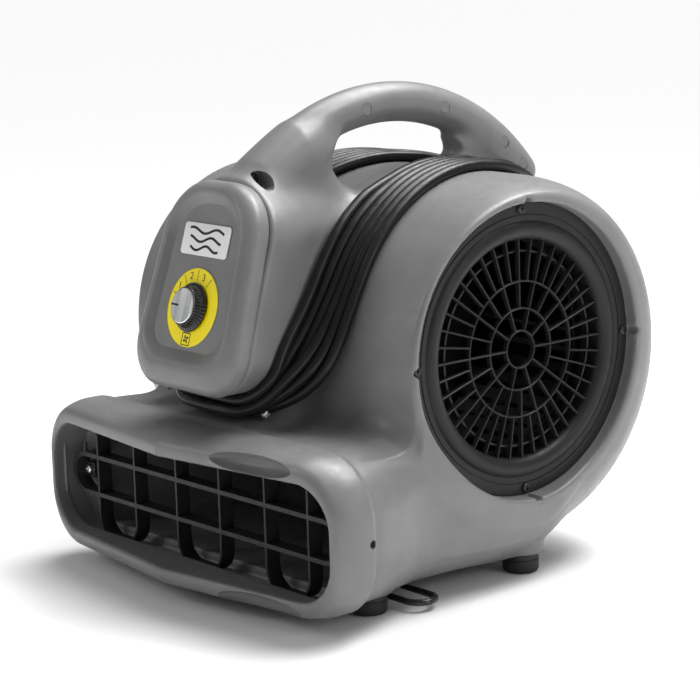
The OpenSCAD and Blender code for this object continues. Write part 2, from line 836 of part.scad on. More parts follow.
// One side of the bail: hinge end, finger loop, leg and half of the cross bar.
module half_stand() {
    bend = 12;
    loop_x = 158 - bend;
    wire(84, hinge_y, loop_x, hinge_y);
    wire_bend(loop_x, hinge_y + bend, bend, -90, 90);
    wire(stand_leg_x + bend, hinge_y + 2 * bend, loop_x, hinge_y + 2 * bend);
    wire_bend(stand_leg_x + bend, hinge_y + 3 * bend, bend, 180, 270);
    wire(stand_leg_x, hinge_y + 3 * bend, stand_leg_x, stand_back_y - bend);
    wire_bend(stand_leg_x - bend, stand_back_y - bend, bend, 0, 90);
    wire(0, stand_back_y, stand_leg_x - bend, stand_back_y);
}

module wire_stand() color(black) on_both_sides() half_stand();

// Saddles that hold the hinge ends of the stand against the base.
module stand_clips() {
    color("#2d2f31") on_both_sides() difference() {
        union() {
            translate([87, hinge_y, hinge_z]) rotate([0, 90, 0]) cylinder(r = wire_r + 2, h = 10);
            translate([87, hinge_y - 4.4, hinge_z]) cube([10, 8.8, base_z - hinge_z]);
            translate([82, hinge_y + 4.6, base_z - 2]) cube([20, 9, 2]);
            translate([87, hinge_y + 3, base_z - 2]) cube([10, 4, 2]);
        }
        translate([80, hinge_y, hinge_z]) rotate([0, 90, 0]) cylinder(r = wire_r + run, h = 30);
        for (x = clip_screw_x) translate([x, clip_screw_y, 0]) cylinder(r = small_r, h = 20);
    }
}

module clip_screws() {
    color(steel) on_both_sides() for (x = clip_screw_x) translate([x, clip_screw_y, 0]) {
        translate([0, 0, base_z - 3.6]) cylinder(r = 3, h = 1.6);
        translate([0, 0, base_z - 2.6]) cylinder(r = small_r, h = 8);
    }
}

// ---------- supply cord ----------

module at_gland() translate(gland_spot) rotate([180 - gland_lean, 0, 0]) children();

module gland_boss() at_gland() translate([0, 0, -26]) cylinder(r = 8.5, h = 25);

module cord_relief() {
    color(black) at_gland() difference() {
        union() {
            translate([0, 0, -8]) cylinder(r = 5.5, h = 8);
            translate([0, 0, -1]) cylinder(r = 7, h = 3);
            translate([0, 0, 2]) cylinder(r1 = 6, r2 = 4.8, h = 26);
        }
        translate([0, 0, -9]) cylinder(r = cord_r, h = 40);
    }
}

// Eight corners of the winding's section at station i: flat faces with cut corners.
function winding_ring(i) =
    let (n = len(winding_stations),
         s = winding_stations[i],
         t = unit(winding_stations[(i + 1) % n][0] - winding_stations[(i + n - 1) % n][0]),
         rise = unit(s[1] - (s[1] * t) * t),
         across = cross(t, rise),
         a = s[2], b = s[3], c = 3)
    [for (q = [[a, b - c], [a - c, b], [c - a, b], [-a, b - c], [-a, c - b], [c - a, -b], [a - c, -b],
               [a, c - b]]) s[0] + q[0] * across + q[1] * rise];

// The ring of side-by-side strands, pressed flat where it lies on the housing.
module cord_winding() {
    color(black) difference() {
        winding_ring_solid();
        gland_boss();
        on_both_sides() {
            drum(-0.3, -1);
            neck();
            handle();
            pedestals();
            for (i = [0, 1]) disc(screw_spots[i][0], screw_spots[i][1], screw_boss_r + 1, -1, 60);
        }
    }
}

module winding_ring_solid() {
    n = len(winding_stations);
    points = [for (i = [0:n - 1]) for (p = winding_ring(i)) p];
    polyhedron(points, [for (i = [0:n - 1]) for (k = [0:7]) for (half = [0, 1])
        let (j = (i + 1) % n, m = (k + 1) % 8)
        half == 0 ? [i * 8 + k, i * 8 + m, j * 8 + m] : [i * 8 + k, j * 8 + m, j * 8 + k]], convexity = 8);
}

module plug_body() {
    color(black) translate(plug_spot) difference() {
        union() {
            translate([0, 0, -12]) cylinder(r1 = 9, r2 = 6, h = 12);
            translate([0, 0, -22]) cylinder(r1 = plug_r, r2 = 9, h = 10);
            translate([0, 0, -plug_len]) cylinder(r = plug_r, h = plug_len - 22);
        }
        translate([0, 0, -9]) cylinder(r = cord_r, h = 12);
    }
}

module plug_pins() {
    color(steel) translate(plug_spot) for (x = [-9.5, 9.5]) translate([x, 0, -plug_len - 19])
        cylinder(r = 2.4, h = 19);
}

// ---------- the whole machine ----------

housing_right();
housing_left();
housing_screws();
handle_plugs();
control_cover();
cover_studs();
badge_plate();
dial_disc();
speed_knob();
knob_cap();
knob_pointer();
rotary_switch();
switch_nut();
switch_shaft();
capacitor();
terminal_block();
motor_cable();
outlet_grille();
grille_screws();
inlet_guard_right();
inlet_guard_left();
guard_screws();
motor_bracket();
motor_case();
motor_end_bell();
stator_core();
motor_windings();
bearings();
motor_shaft();
rotor_core();
fan_hub();
hub_set_screw();
fan_plate();
fan_blades();
fan_end_rings();
front_feet();
rear_feet();
foot_screws();
stand_clips();
clip_screws();
wire_stand();
cord_relief();
cord_winding();
plug_body();
plug_pins();
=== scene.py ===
import json
import math

import bmesh
import bpy
import numpy as np
from mathutils import Matrix, Vector

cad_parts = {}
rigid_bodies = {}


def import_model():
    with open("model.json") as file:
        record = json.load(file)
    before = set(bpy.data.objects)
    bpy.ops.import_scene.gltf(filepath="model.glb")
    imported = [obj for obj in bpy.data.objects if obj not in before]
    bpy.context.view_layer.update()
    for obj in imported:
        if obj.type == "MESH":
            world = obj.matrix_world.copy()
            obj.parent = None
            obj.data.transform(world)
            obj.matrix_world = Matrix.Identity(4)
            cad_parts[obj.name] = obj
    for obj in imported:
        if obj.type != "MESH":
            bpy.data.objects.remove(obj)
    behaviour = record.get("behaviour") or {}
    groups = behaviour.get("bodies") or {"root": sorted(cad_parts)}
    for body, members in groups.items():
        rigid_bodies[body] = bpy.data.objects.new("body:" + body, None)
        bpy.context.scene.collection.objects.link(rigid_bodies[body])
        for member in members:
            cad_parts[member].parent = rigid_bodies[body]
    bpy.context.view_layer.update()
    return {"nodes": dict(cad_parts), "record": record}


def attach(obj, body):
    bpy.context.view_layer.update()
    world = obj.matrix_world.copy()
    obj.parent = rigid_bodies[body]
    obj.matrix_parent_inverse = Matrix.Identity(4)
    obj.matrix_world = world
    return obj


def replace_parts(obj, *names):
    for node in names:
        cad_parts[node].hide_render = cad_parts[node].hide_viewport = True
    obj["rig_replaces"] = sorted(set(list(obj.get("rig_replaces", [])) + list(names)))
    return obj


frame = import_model()
nodes = frame["nodes"]

# ---------------------------------------------------------------- sizes, in millimetres

MM = 0.001
AXIS_Y, AXIS_Z = 36, 175                 # fan axis
SCROLL_Y, SCROLL_Z, SCROLL_R = 56, 159, 141
CROWN_X, RIM_X = 100, 157                # half widths of the scroll's flat crown and of its right rim
DEEP_RIM_X, DEEP_RIM_R = 184, 117        # the rim on the motor's side stands out further
SHOULDER_POWER = 1.7                     # how full the scroll's shoulders are
SHOULDER_DROP = 26
RIM_R = 110.5                            # bore inside each inlet rim
LEDGE_X, LEDGE_T, LEDGE_R = 141, 4, 100
WALL = 4

COLLAR_X, COLLAR_TOP, BASE_Z = 184, 128, 12
LIP_Y, COLLAR_BACK = -197, -141
SWEEP = math.radians(7)                  # each half of the lip is swept back
MOUTH_HALF, MOUTH_LOW, MOUTH_HIGH, MOUTH_CORNER = 171.5, 25.5, 110.5, 32
MOUTH_BACK = -144
FLOOR_STEP = 7                           # hides the foot of the grille behind the lip
GRILLE_FRONT, GRILLE_SCREW_X, RAIL_Z = -161, 156.5, 67

SCOOPS = ((97, 41, 118.5), (101, 42, 16.5))      # middle and half length along X, and height
SCOOP_DEPTH, SCOOP_HALF = 12, 7.5

PANEL_Y, PANEL_Z = -157.5, 216           # middle of the speed dial
PANEL_TILT = math.radians(17.5)
PANEL_UP = np.array([0, math.sin(PANEL_TILT), math.cos(PANEL_TILT)])
PANEL_OUT = np.array([0, -math.cos(PANEL_TILT), math.sin(PANEL_TILT)])
COVER_BACK = -13.6
COVER_LOW, COVER_HIGH = -61, 96

HANDLE_Y, HANDLE_Z, HANDLE_R, GRIP_R = 30, 170, 181.5, 15.5
HANDLE_FROM, HANDLE_TO = math.radians(39), math.radians(141)
HANDLE_PLUGS = (99, 73.5, 51, 42)        # degrees along the arc

FOOT_X, FOOT_Y, FOOT_R = 128, (-105, 47), 14
SCREW_RECESSES = ((-126, 137, 4.2, 42), (-105, 306, 7, 9))      # Y, Z, radius, floor at X
COLLAR_HOLE = (173, COLLAR_BACK - 4, 69)                        # floor of the blind hole in the collar

GLAND = np.array([-45, -80, 217])
GLAND_LEAN = math.radians(28)
GLAND_OUT = np.array([0, -math.sin(GLAND_LEAN), -math.cos(GLAND_LEAN)])
CORD_D = 8.4
CORD_TURNS = 6
PLUG_SPOT = np.array([-98, -106, 190])

# ---------------------------------------------------------------- camera

CAM_AZIMUTH, CAM_ELEVATION, CAM_ROLL = math.radians(50.36), math.radians(10.97), math.radians(-1.74)
CAM_SPOT = Vector((1.4679, -1.2176, 0.5340))


def make_camera():
    back = Vector((math.sin(CAM_AZIMUTH) * math.cos(CAM_ELEVATION),
                   -math.cos(CAM_AZIMUTH) * math.cos(CAM_ELEVATION), math.sin(CAM_ELEVATION)))
    level = Vector((math.cos(CAM_AZIMUTH), math.sin(CAM_AZIMUTH), 0))
    upright = back.cross(level)
    right = math.cos(CAM_ROLL) * level + math.sin(CAM_ROLL) * upright
    up = back.cross(right)
    data = bpy.data.cameras.new("camera")
    data.sensor_width = 36
    data.lens = 128.5
    data.shift_x, data.shift_y = -0.0112, -0.0059
    data.clip_start, data.clip_end = 0.05, 60
    camera = bpy.data.objects.new("camera", data)
    camera.matrix_world = Matrix((
        (right.x, up.x, back.x, CAM_SPOT.x), (right.y, up.y, back.y, CAM_SPOT.y),
        (right.z, up.z, back.z, CAM_SPOT.z), (0, 0, 0, 1)))
    bpy.context.scene.collection.objects.link(camera)
    bpy.context.scene.camera = camera


make_camera()

# ---------------------------------------------------------------- signed distances of the housing


def smooth_min(a, b, k):
    h = np.maximum(k - np.abs(a - b), 0) / k
    return np.minimum(a, b) - h * h * k / 4


def smooth_max(a, b, k):
    return -smooth_min(-a, -b, k)


def unit(v):
    return v / np.linalg.norm(v)


def mix(a, b, t):
    return a + (b - a) * t


def ease(t):
    t = np.clip(t, 0, 1)
    return t * t * (3 - 2 * t)


def between(v, low, high):
    """Distance in 1D from a stretch, negative inside."""
    return np.maximum(low - v, v - high)


def rounded_rect(u, v, half, low, high, r):
    """Distance in 2D from a rectangle with rounded corners, centred on u = 0."""
    du = np.abs(u) - half + r
    dv = np.abs(v - (low + high) / 2) - (high - low) / 2 + r
    return np.hypot(np.maximum(du, 0), np.maximum(dv, 0)) + np.minimum(np.maximum(du, dv), 0) - r


def polygon_distance(u, v, corners):
    """Distance in 2D from a closed polygon, negative inside."""
    best = np.full(u.shape, 1e9)
    inside = np.zeros(u.shape, bool)
    for (au, av), (bu, bv) in zip(corners, corners[1:] + corners[:1]):
        eu, ev = bu - au, bv - av
        t = np.clip(((u - au) * eu + (v - av) * ev) / (eu * eu + ev * ev), 0, 1)
        best = np.minimum(best, np.hypot(u - au - t * eu, v - av - t * ev))
        crosses = ((av > v) != (bv > v)) & (u < (bu - au) * (v - av) / (bv - av + 1e-12) + au)
        inside ^= crosses
    return np.where(inside, -best, best)


def scroll(x, y, z, rim_x=RIM_X):
    """The round body of the fan housing, eccentric to the fan axis, with full shoulders."""
    t = np.clip((np.abs(x) - CROWN_X) / (rim_x - CROWN_X), 0, 0.985)
    share = 1 - (1 - t ** SHOULDER_POWER) ** (1 / SHOULDER_POWER)
    slope = (1 - t ** SHOULDER_POWER) ** (1 / SHOULDER_POWER - 1) * t ** (SHOULDER_POWER - 1)
    drop = SHOULDER_DROP if rim_x == RIM_X else SCROLL_R - DEEP_RIM_R
    slope = np.minimum(slope * (drop + 10) / (rim_x - CROWN_X), 1.6)
    radius = SCROLL_R - drop * share
    d = np.hypot(y - mix(SCROLL_Y, AXIS_Y, share), z - mix(SCROLL_Z, AXIS_Z, share)) - radius
    return smooth_max(d / np.sqrt(1 + slope * slope), np.abs(x) - rim_x, 4)


def duct(x, y, z):
    """Outside of the outlet duct, which narrows back to the scroll."""
    t = (y - COLLAR_BACK) / 205
    half = mix(COLLAR_X - 6, RIM_X, ease((y - COLLAR_BACK) / 88)) - 7 * ease((y + 53) / 100)
    section = rounded_rect(x, z, half, BASE_Z, COLLAR_TOP - 2 - 4 * t, mix(46, 36, t))
    return smooth_max(smooth_max(section, y - 62, 40), COLLAR_BACK - 3 - y, 2)


def collar(x, y, z):
    """The band round the mouth, drawn in and rounded towards its swept front edge."""
    back_from_lip = y - LIP_Y - np.abs(x) * math.tan(SWEEP)
    t = np.clip(1 - back_from_lip / 24, 0, 1.2) ** 2
    section = rounded_rect(x, z, COLLAR_X - 7 * t, BASE_Z - 2 + 5 * t, COLLAR_TOP - 6 * t, 46 - 6 * t)
    d = smooth_max(section, -back_from_lip * math.cos(SWEEP), 5)
    return smooth_max(d, y - COLLAR_BACK, 5)


def on_panel(x, y, z):
    """Panel coordinates: across, up the panel, and out of it."""
    dy, dz = y - PANEL_Y, z - PANEL_Z
    return x, dy * PANEL_UP[1] + dz * PANEL_UP[2], dy * PANEL_OUT[1] + dz * PANEL_OUT[2]


def neck(x, y, z):
    """Neck behind the control cover, which flares into the scroll."""
    across, up, out = on_panel(x, y, z)
    t = np.clip((COVER_BACK - 2 - out) / 70, 0, 1.4)
    half = mix(57, 33, ease(t * 0.8)) + 3 * ease((10 - up) / 60) * (1 - t)
    section = rounded_rect(across, up, half, mix(COVER_LOW + 2, -40, t), mix(COVER_HIGH - 2, 100, t),
                           np.where(up > 15, mix(42, 25, t), mix(28, 20, t)))
    return smooth_max(smooth_max(section, out - COVER_BACK + 0.6, 4), -105 - out, 10)


def handle(x, y, z):
    angle = np.clip(np.arctan2(z - HANDLE_Z, y - HANDLE_Y), HANDLE_FROM, HANDLE_TO)
    cy, cz = HANDLE_Y + HANDLE_R * np.cos(angle), HANDLE_Z + HANDLE_R * np.sin(angle)
    return np.sqrt(x * x + (y - cy) ** 2 + (z - cz) ** 2) - GRIP_R


def slab(x, y, z, half, corners, soft):
    """A polygon in Y and Z carried out to both sides, with softened edges."""
    return smooth_max(polygon_distance(y, z, corners), np.abs(x) - half, soft)


FRONT_FOOT = [(-118, 300), (-100, 316), (-62, 336), (-30, 331), (-31, 308), (-15, 280), (-60, 240),
              (-110, 270)]
REAR_FOOT = [(97, 318), (98, 306), (90, 288), (104, 270), (142, 255), (147, 280), (152, 298), (130, 318)]
RAMP = [(-150, 120), (-150, 126), (-122, 133), (-104, 145), (-70, 150), (-70, 120)]


def outside(x, y, z, rim_x=RIM_X):
    d = smooth_min(scroll(x, y, z, rim_x), duct(x, y, z), 34)
    d = smooth_min(d, slab(x, y, z, 44, RAMP, 16), 14)
    d = smooth_min(d, neck(x, y, z), 26)
    grip = smooth_min(handle(x, y, z), slab(x, y, z, 24, FRONT_FOOT, 22), 16)
    grip = smooth_min(grip, slab(x, y, z, 13, REAR_FOOT, 12), 12)
    d = smooth_min(d, grip, 18)
    for foot_y in FOOT_Y:
        post = np.hypot(np.abs(x) - FOOT_X, y - foot_y) - FOOT_R - 3.5
        d = smooth_min(d, smooth_max(post, between(z, 15, 31), 2), 3)
    return smooth_min(d, collar(x, y, z), 3.5)


def inside(x, y, z, rim_x=RIM_X):
    """Everything hollow: the scroll, the duct, the mouth, and the bores of both inlets."""
    t = (y + 145) / 167
    channel = rounded_rect(x, z, mix(MOUTH_HALF, 134, t), mix(MOUTH_LOW, BASE_Z + WALL, t),
                           mix(MOUTH_HIGH, 112, t), np.clip(mix(MOUTH_CORNER, 20, t), 15, 40))
    channel = smooth_max(channel, between(y, -153, 23), 6)
    hollow = smooth_max(smooth_min(scroll(x, y, z, rim_x) + WALL + 1, channel, 12), np.abs(x) - LEDGE_X, 2)
    across, up, out = on_panel(x, y, z)
    box_space = smooth_max(rounded_rect(across, up, 31, -40, 70, 20), between(out, -79, -11), 3)
    box_space = np.maximum(box_space, SCROLL_R + 0.7 - np.hypot(y - SCROLL_Y, z - SCROLL_Z))
    hollow = np.minimum(hollow, box_space)
    mouth = rounded_rect(x, z, MOUTH_HALF, MOUTH_LOW, MOUTH_HIGH, MOUTH_CORNER)
    hollow = np.minimum(hollow, np.maximum(mouth, y - MOUTH_BACK))
    step = rounded_rect(x, z, MOUTH_HALF, MOUTH_LOW - FLOOR_STEP, MOUTH_HIGH, MOUTH_CORNER)
    hollow = np.minimum(hollow, np.maximum(step, between(y, GRILLE_FRONT - 2, MOUTH_BACK)))
    radius = np.hypot(y - AXIS_Y, z - AXIS_Z)
    bore = np.maximum(radius - RIM_R, LEDGE_X + LEDGE_T - np.abs(x))
    for turn in range(4):
        a = math.radians(90 * turn)
        notch = np.hypot(y - AXIS_Y - RIM_R * math.cos(a), z - AXIS_Z - RIM_R * math.sin(a)) - 3.2
        bore = np.minimum(bore, np.maximum(notch, LEDGE_X + LEDGE_T + 0.5 - np.abs(x)))
    throat = np.maximum(radius - LEDGE_R, LEDGE_X - 2 - np.abs(x))
    return np.minimum(hollow, np.minimum(bore, throat))


def gland_boss(x, y, z):
    p = np.stack([x, y, z], -1) - GLAND
    along = p @ GLAND_OUT
    away = np.sqrt(np.maximum((p * p).sum(-1) - along * along, 0))
    return smooth_max(away - 8.5, between(along, -27, -1), 2)


def shell(x, y, z, side):
    """The moulded shell on one side; the gland's boss is on the left side only."""
    rim_x = RIM_X if side > 0 else DEEP_RIM_X
    body = outside(x, y, z, rim_x)
    if side < 0:
        body = smooth_min(body, gland_boss(-x, y, z), 5)
    return smooth_max(body, -inside(x, y, z, rim_x), 3)


def gradient(field, p, step=0.25):
    g = np.empty_like(p)
    for axis in range(3):
        shift = np.zeros(3)
        shift[axis] = step
        g[:, axis] = (field(*(p + shift).T) - field(*(p - shift).T)) / (2 * step)
    return g


def settle(field, p, level=0.0, rounds=3):
    """Moves points onto the surface where the field has the given level."""
    for _ in range(rounds):
        g = gradient(field, p)
        p = p - ((field(*p.T) - level) / np.maximum((g * g).sum(1), 0.2))[:, None] * g
    return p


def surface_net(field, low, high, cell):
    """Vertices and quads of the field's zero surface, evaluated only near it."""
    block = 8
    counts = [int(math.ceil((h - l) / cell / block)) * block for l, h in zip(low, high)]
    grid = np.full([n + 1 for n in counts], 1e3, np.float32)
    starts = np.meshgrid(*[np.arange(0, n, block) for n in counts], indexing="ij")
    starts = np.stack(starts, -1).reshape(-1, 3)
    middles = np.array(low) + (starts + block / 2) * cell
    near = field(*middles.T)
    reach = block * cell * 0.87 * 1.6
    local = np.stack(np.meshgrid(*[np.arange(block + 1)] * 3, indexing="ij"), -1).reshape(-1, 3)
    for start, value in zip(starts, near):
        i, j, k = start
        if abs(value) > reach:
            grid[i:i + block + 1, j:j + block + 1, k:k + block + 1] = np.sign(value) * 1e3
    busy = starts[np.abs(near) <= reach]
    for part in np.array_split(busy, max(1, len(busy) // 400)):
        index = (part[:, None, :] + local[None]).reshape(-1, 3)
        grid[tuple(index.T)] = field(*(np.array(low) + index * cell).T)
    return net_from_grid(grid, np.array(low, float), cell)


def net_from_grid(grid, low, cell):
    total = np.zeros([n - 1 for n in grid.shape] + [3], np.float32)
    hits = np.zeros([n - 1 for n in grid.shape], np.float32)
    edges = []
    for axis in range(3):
        a = np.take(grid, range(grid.shape[axis] - 1), axis)
        b = np.take(grid, range(1, grid.shape[axis]), axis)
        where = np.argwhere((a < 0) != (b < 0))
        va, vb = a[tuple(where.T)], b[tuple(where.T)]
        spot = where.astype(np.float32)
        spot[:, axis] += va / (va - vb)
        edges.append((where, va < 0))
        others = [o for o in range(3) if o != axis]
        for du in (0, 1):
            for dv in (0, 1):
                cellid = where.copy()
                cellid[:, others[0]] -= du
                cellid[:, others[1]] -= dv
                ok = ((cellid >= 0) & (cellid < np.array(hits.shape))).all(1)
                np.add.at(total, tuple(cellid[ok].T), spot[ok])
                np.add.at(hits, tuple(cellid[ok].T), 1)
    used = np.argwhere(hits > 0)
    number = np.full(hits.shape, -1, np.int64)
    number[tuple(used.T)] = np.arange(len(used))
    verts = total[tuple(used.T)] / hits[tuple(used.T)][:, None] * cell + low
    quads = []
    for axis, (where, inward) in enumerate(edges):
        u, v = (axis + 1) % 3, (axis + 2) % 3
        corners = []
        for du, dv in ((0, 0), (1, 0), (1, 1), (0, 1)):
            c = where.copy()
            c[:, u] -= du
            c[:, v] -= dv
            ok = ((c >= 0) & (c < np.array(hits.shape))).all(1)
            corners.append(np.where(ok, number[tuple(np.clip(c, 0, np.array(hits.shape) - 1).T)], -1))
        q = np.stack(corners, 1)
        q = np.where(inward[:, None], q, q[:, ::-1])
        quads.append(q[(q >= 0).all(1)])
    return verts, np.concatenate(quads)


# ---------------------------------------------------------------- making meshes


def new_mesh(name, verts, faces, smooth=True):
    """A mesh object from vertices in millimetres."""
    mesh = bpy.data.meshes.new(name)
    mesh.from_pydata((np.asarray(verts, float) * MM).tolist(), [], [list(map(int, f)) for f in faces])
    mesh.validate()
    if smooth:
        mesh.shade_smooth()
    made = bpy.data.objects.new(name, mesh)
    bpy.context.scene.collection.objects.link(made)
    return made


def loft(rings, closed=False):
    """Vertices and quads that join rings of equally many points, each a closed loop."""
    count = len(rings[0])
    verts = np.concatenate(rings)
    faces = []
    last = len(rings) if closed else len(rings) - 1
    for i in range(last):
        a, b = i * count, (i + 1) % len(rings) * count
        faces += [(a + k, a + (k + 1) % count, b + (k + 1) % count, b + k) for k in range(count)]
    return verts, faces


def capped(rings):
    """A loft whose two ends are closed."""
    verts, faces = loft(rings)
    sides, count = len(rings[0]), len(verts)
    return verts, faces + [tuple(range(sides - 1, -1, -1)), tuple(range(count - sides, count))]


def lathe(profile, sides=96, spin=None):
    """Rings about +Z from a profile of (radius, height); spin changes a radius with the angle."""
    turn = np.linspace(0, 2 * math.pi, sides, endpoint=False)
    rings = []
    for r, h in profile:
        radius = spin(turn, r, h) if spin else np.full(sides, float(r))
        rings.append(np.stack([radius * np.cos(turn), radius * np.sin(turn), np.full(sides, float(h))], 1))
    return capped(rings)


def joined(parts):
    """One list of vertices and faces from several."""
    verts, faces, start = [], [], 0
    for v, f in parts:
        verts.append(np.asarray(v, float))
        faces += [tuple(int(i) + start for i in face) for face in f]
        start += len(v)
    return np.concatenate(verts), faces


def placed(part, origin, x_axis, y_axis, z_axis):
    """Moves a part into a frame of its own."""
    verts, faces = part
    return np.asarray(verts) @ np.array([x_axis, y_axis, z_axis], float) + np.array(origin, float), faces


def on_panel_part(part):
    return placed(part, (0, PANEL_Y, PANEL_Z), (1, 0, 0), PANEL_UP, PANEL_OUT)


def mirrored(part):
    verts, faces = part
    return np.asarray(verts) * (-1, 1, 1), [tuple(reversed(f)) for f in faces]


def cut_with(target, cutter):
    """Boolean difference, after which the cutter is gone."""
    step = target.modifiers.new("cut", "BOOLEAN")
    step.operation, step.solver, step.object = "DIFFERENCE", "MANIFOLD", cutter
    bpy.context.view_layer.update()
    evaluated = target.evaluated_get(bpy.context.evaluated_depsgraph_get())
    mesh = bpy.data.meshes.new_from_object(evaluated)
    target.modifiers.clear()
    target.data = mesh
    bpy.data.objects.remove(cutter)


def sharpen(obj, degrees=35):
    obj.data.shade_smooth()
    obj.data.set_sharp_from_angle(angle=math.radians(degrees))


def sharpened(obj, degrees=35):
    sharpen(obj, degrees)
    return obj


def lathe_ring(profile, sides=160):
    """A closed ring: the profile runs once round its section."""
    turn = np.linspace(0, 2 * math.pi, sides, endpoint=False)
    rings = [np.array([(r * math.cos(a), r * math.sin(a), h) for r, h in profile]) for a in turn]
    area = sum(a[0] * b[1] - b[0] * a[1] for a, b in zip(profile, profile[1:] + profile[:1]))
    verts, faces = loft(rings, closed=True)
    return verts, faces if area < 0 else [tuple(reversed(f)) for f in faces]


# ---------------------------------------------------------------- finishes


def noise(tree, place, size_mm, detail=2.0, stretch=None):
    """Noise whose features are about size_mm across."""
    node = tree.nodes.new("ShaderNodeTexNoise")
    node.inputs["Scale"].default_value = 1000 / size_mm
    node.inputs["Detail"].default_value = detail
    if stretch:
        squeeze = tree.nodes.new("ShaderNodeVectorMath")
        squeeze.operation = "MULTIPLY"
        squeeze.inputs[1].default_value = stretch
        tree.links.new(place, squeeze.inputs[0])
        place = squeeze.outputs[0]
    tree.links.new(place, node.inputs["Vector"])
    return node.outputs["Fac"]


def spread(tree, value, low, high):
    """The value, about 0.35 to 0.65, spread over a range."""
    node = tree.nodes.new("ShaderNodeMapRange")
    for name, number in (("From Min", 0.35), ("From Max", 0.65), ("To Min", low), ("To Max", high)):
        node.inputs[name].default_value = number
    tree.links.new(value, node.inputs["Value"])
    return node.outputs["Result"]


def finish(slot, colour, rough, metal=0.0, grain_mm=0.9, grain=0.05, blotch=0.06, worn=0.06, stretch=None,
           gloss=0.5, coat=0.0):
    """A material with uneven colour and roughness and a fine surface grain."""
    made = bpy.data.materials.new(slot)
    made.use_nodes = True
    tree = made.node_tree
    shader = tree.nodes["Principled BSDF"]
    shader.inputs["Metallic"].default_value = metal
    shader.inputs["Specular IOR Level"].default_value = gloss
    shader.inputs["Coat Weight"].default_value = coat
    place = tree.nodes.new("ShaderNodeTexCoord").outputs["Object"]
    shade = tree.nodes.new("ShaderNodeMix")
    shade.data_type = "RGBA"
    shade.inputs["A"].default_value = tuple(c * (1 - blotch) for c in colour) + (1,)
    shade.inputs["B"].default_value = tuple(min(c * (1 + blotch), 1) for c in colour) + (1,)
    tree.links.new(spread(tree, noise(tree, place, 34, 4), 0, 1), shade.inputs["Factor"])
    tree.links.new(shade.outputs["Result"], shader.inputs["Base Color"])
    uneven = noise(tree, place, 6, 3, stretch)
    tree.links.new(spread(tree, uneven, max(rough - worn, 0.04), min(rough + worn, 1)),
                   shader.inputs["Roughness"])
    bump = tree.nodes.new("ShaderNodeBump")
    bump.inputs["Strength"].default_value = 1
    bump.inputs["Distance"].default_value = grain * MM
    tree.links.new(noise(tree, place, grain_mm, 3, stretch), bump.inputs["Height"])
    tree.links.new(bump.outputs["Normal"], shader.inputs["Normal"])
    return made


FINISHES = {
    "shell_plastic": finish("shell_plastic", (0.172, 0.173, 0.174), 0.40, grain=0.07, grain_mm=1.1),
    "guard_plastic": finish("guard_plastic", (0.018, 0.0185, 0.019), 0.42, grain=0.06, gloss=0.22),
    "black_plastic": finish("black_plastic", (0.005, 0.005, 0.0055), 0.45, grain=0.04),
    "knob_plastic": finish("knob_plastic", (0.010, 0.010, 0.011), 0.26, grain=0.02),
    "cap_metal": finish("cap_metal", (0.78, 0.79, 0.80), 0.27, metal=1.0, stretch=(1, 0.05, 0.05),
                        grain=0.02, grain_mm=0.5),
    "badge_white": finish("badge_white", (0.80, 0.80, 0.79), 0.34, blotch=0.02, grain=0.01),
    "dial_yellow": finish("dial_yellow", (0.95, 0.78, 0.0), 0.36, blotch=0.03, grain=0.01),
    "fastener_steel": finish("fastener_steel", (0.60, 0.61, 0.63), 0.30, metal=1.0, grain=0.02),
    "dark_steel": finish("dark_steel", (0.035, 0.035, 0.037), 0.36, metal=0.6, grain=0.02),
    "motor_paint": finish("motor_paint", (0.10, 0.11, 0.12), 0.42, grain=0.04),
    "cast_alloy": finish("cast_alloy", (0.38, 0.39, 0.41), 0.55, metal=0.8, grain=0.12, grain_mm=1.6),
    "hub_alloy": finish("hub_alloy", (0.60, 0.61, 0.63), 0.34, metal=1.0, stretch=(0.1, 1, 1), grain=0.02),
    "lamination_steel": finish("lamination_steel", (0.28, 0.29, 0.30), 0.45, metal=0.9,
                               stretch=(2, 0.05, 0.05), grain=0.10),
    "winding_enamel": finish("winding_enamel", (0.40, 0.16, 0.05), 0.32, grain=0.15,
                             stretch=(1, 0.3, 0.3)),
    "cream_plastic": finish("cream_plastic", (0.74, 0.70, 0.62), 0.42, grain=0.03),
    "foot_rubber": finish("foot_rubber", (0.010, 0.010, 0.011), 0.62, grain=0.08),
    "cord_rubber": finish("cord_rubber", (0.009, 0.009, 0.0095), 0.34, grain=0.05, gloss=0.28),
    "wire_coat": finish("wire_coat", (0.010, 0.010, 0.011), 0.30, grain=0.03),
    "pin_plating": finish("pin_plating", (0.70, 0.70, 0.71), 0.16, metal=1.0, grain=0.01),
}


def finish_piece(obj, body, slot, *stands_for):
    """Rides on a body, takes a material slot and its look, and stands for CAD nodes if any are named."""
    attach(obj, body)
    if stands_for:
        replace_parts(obj, *stands_for)
    obj.data.materials.clear()
    obj.data.materials.append(FINISHES[slot])
    return obj


# ---------------------------------------------------------------- supply cord

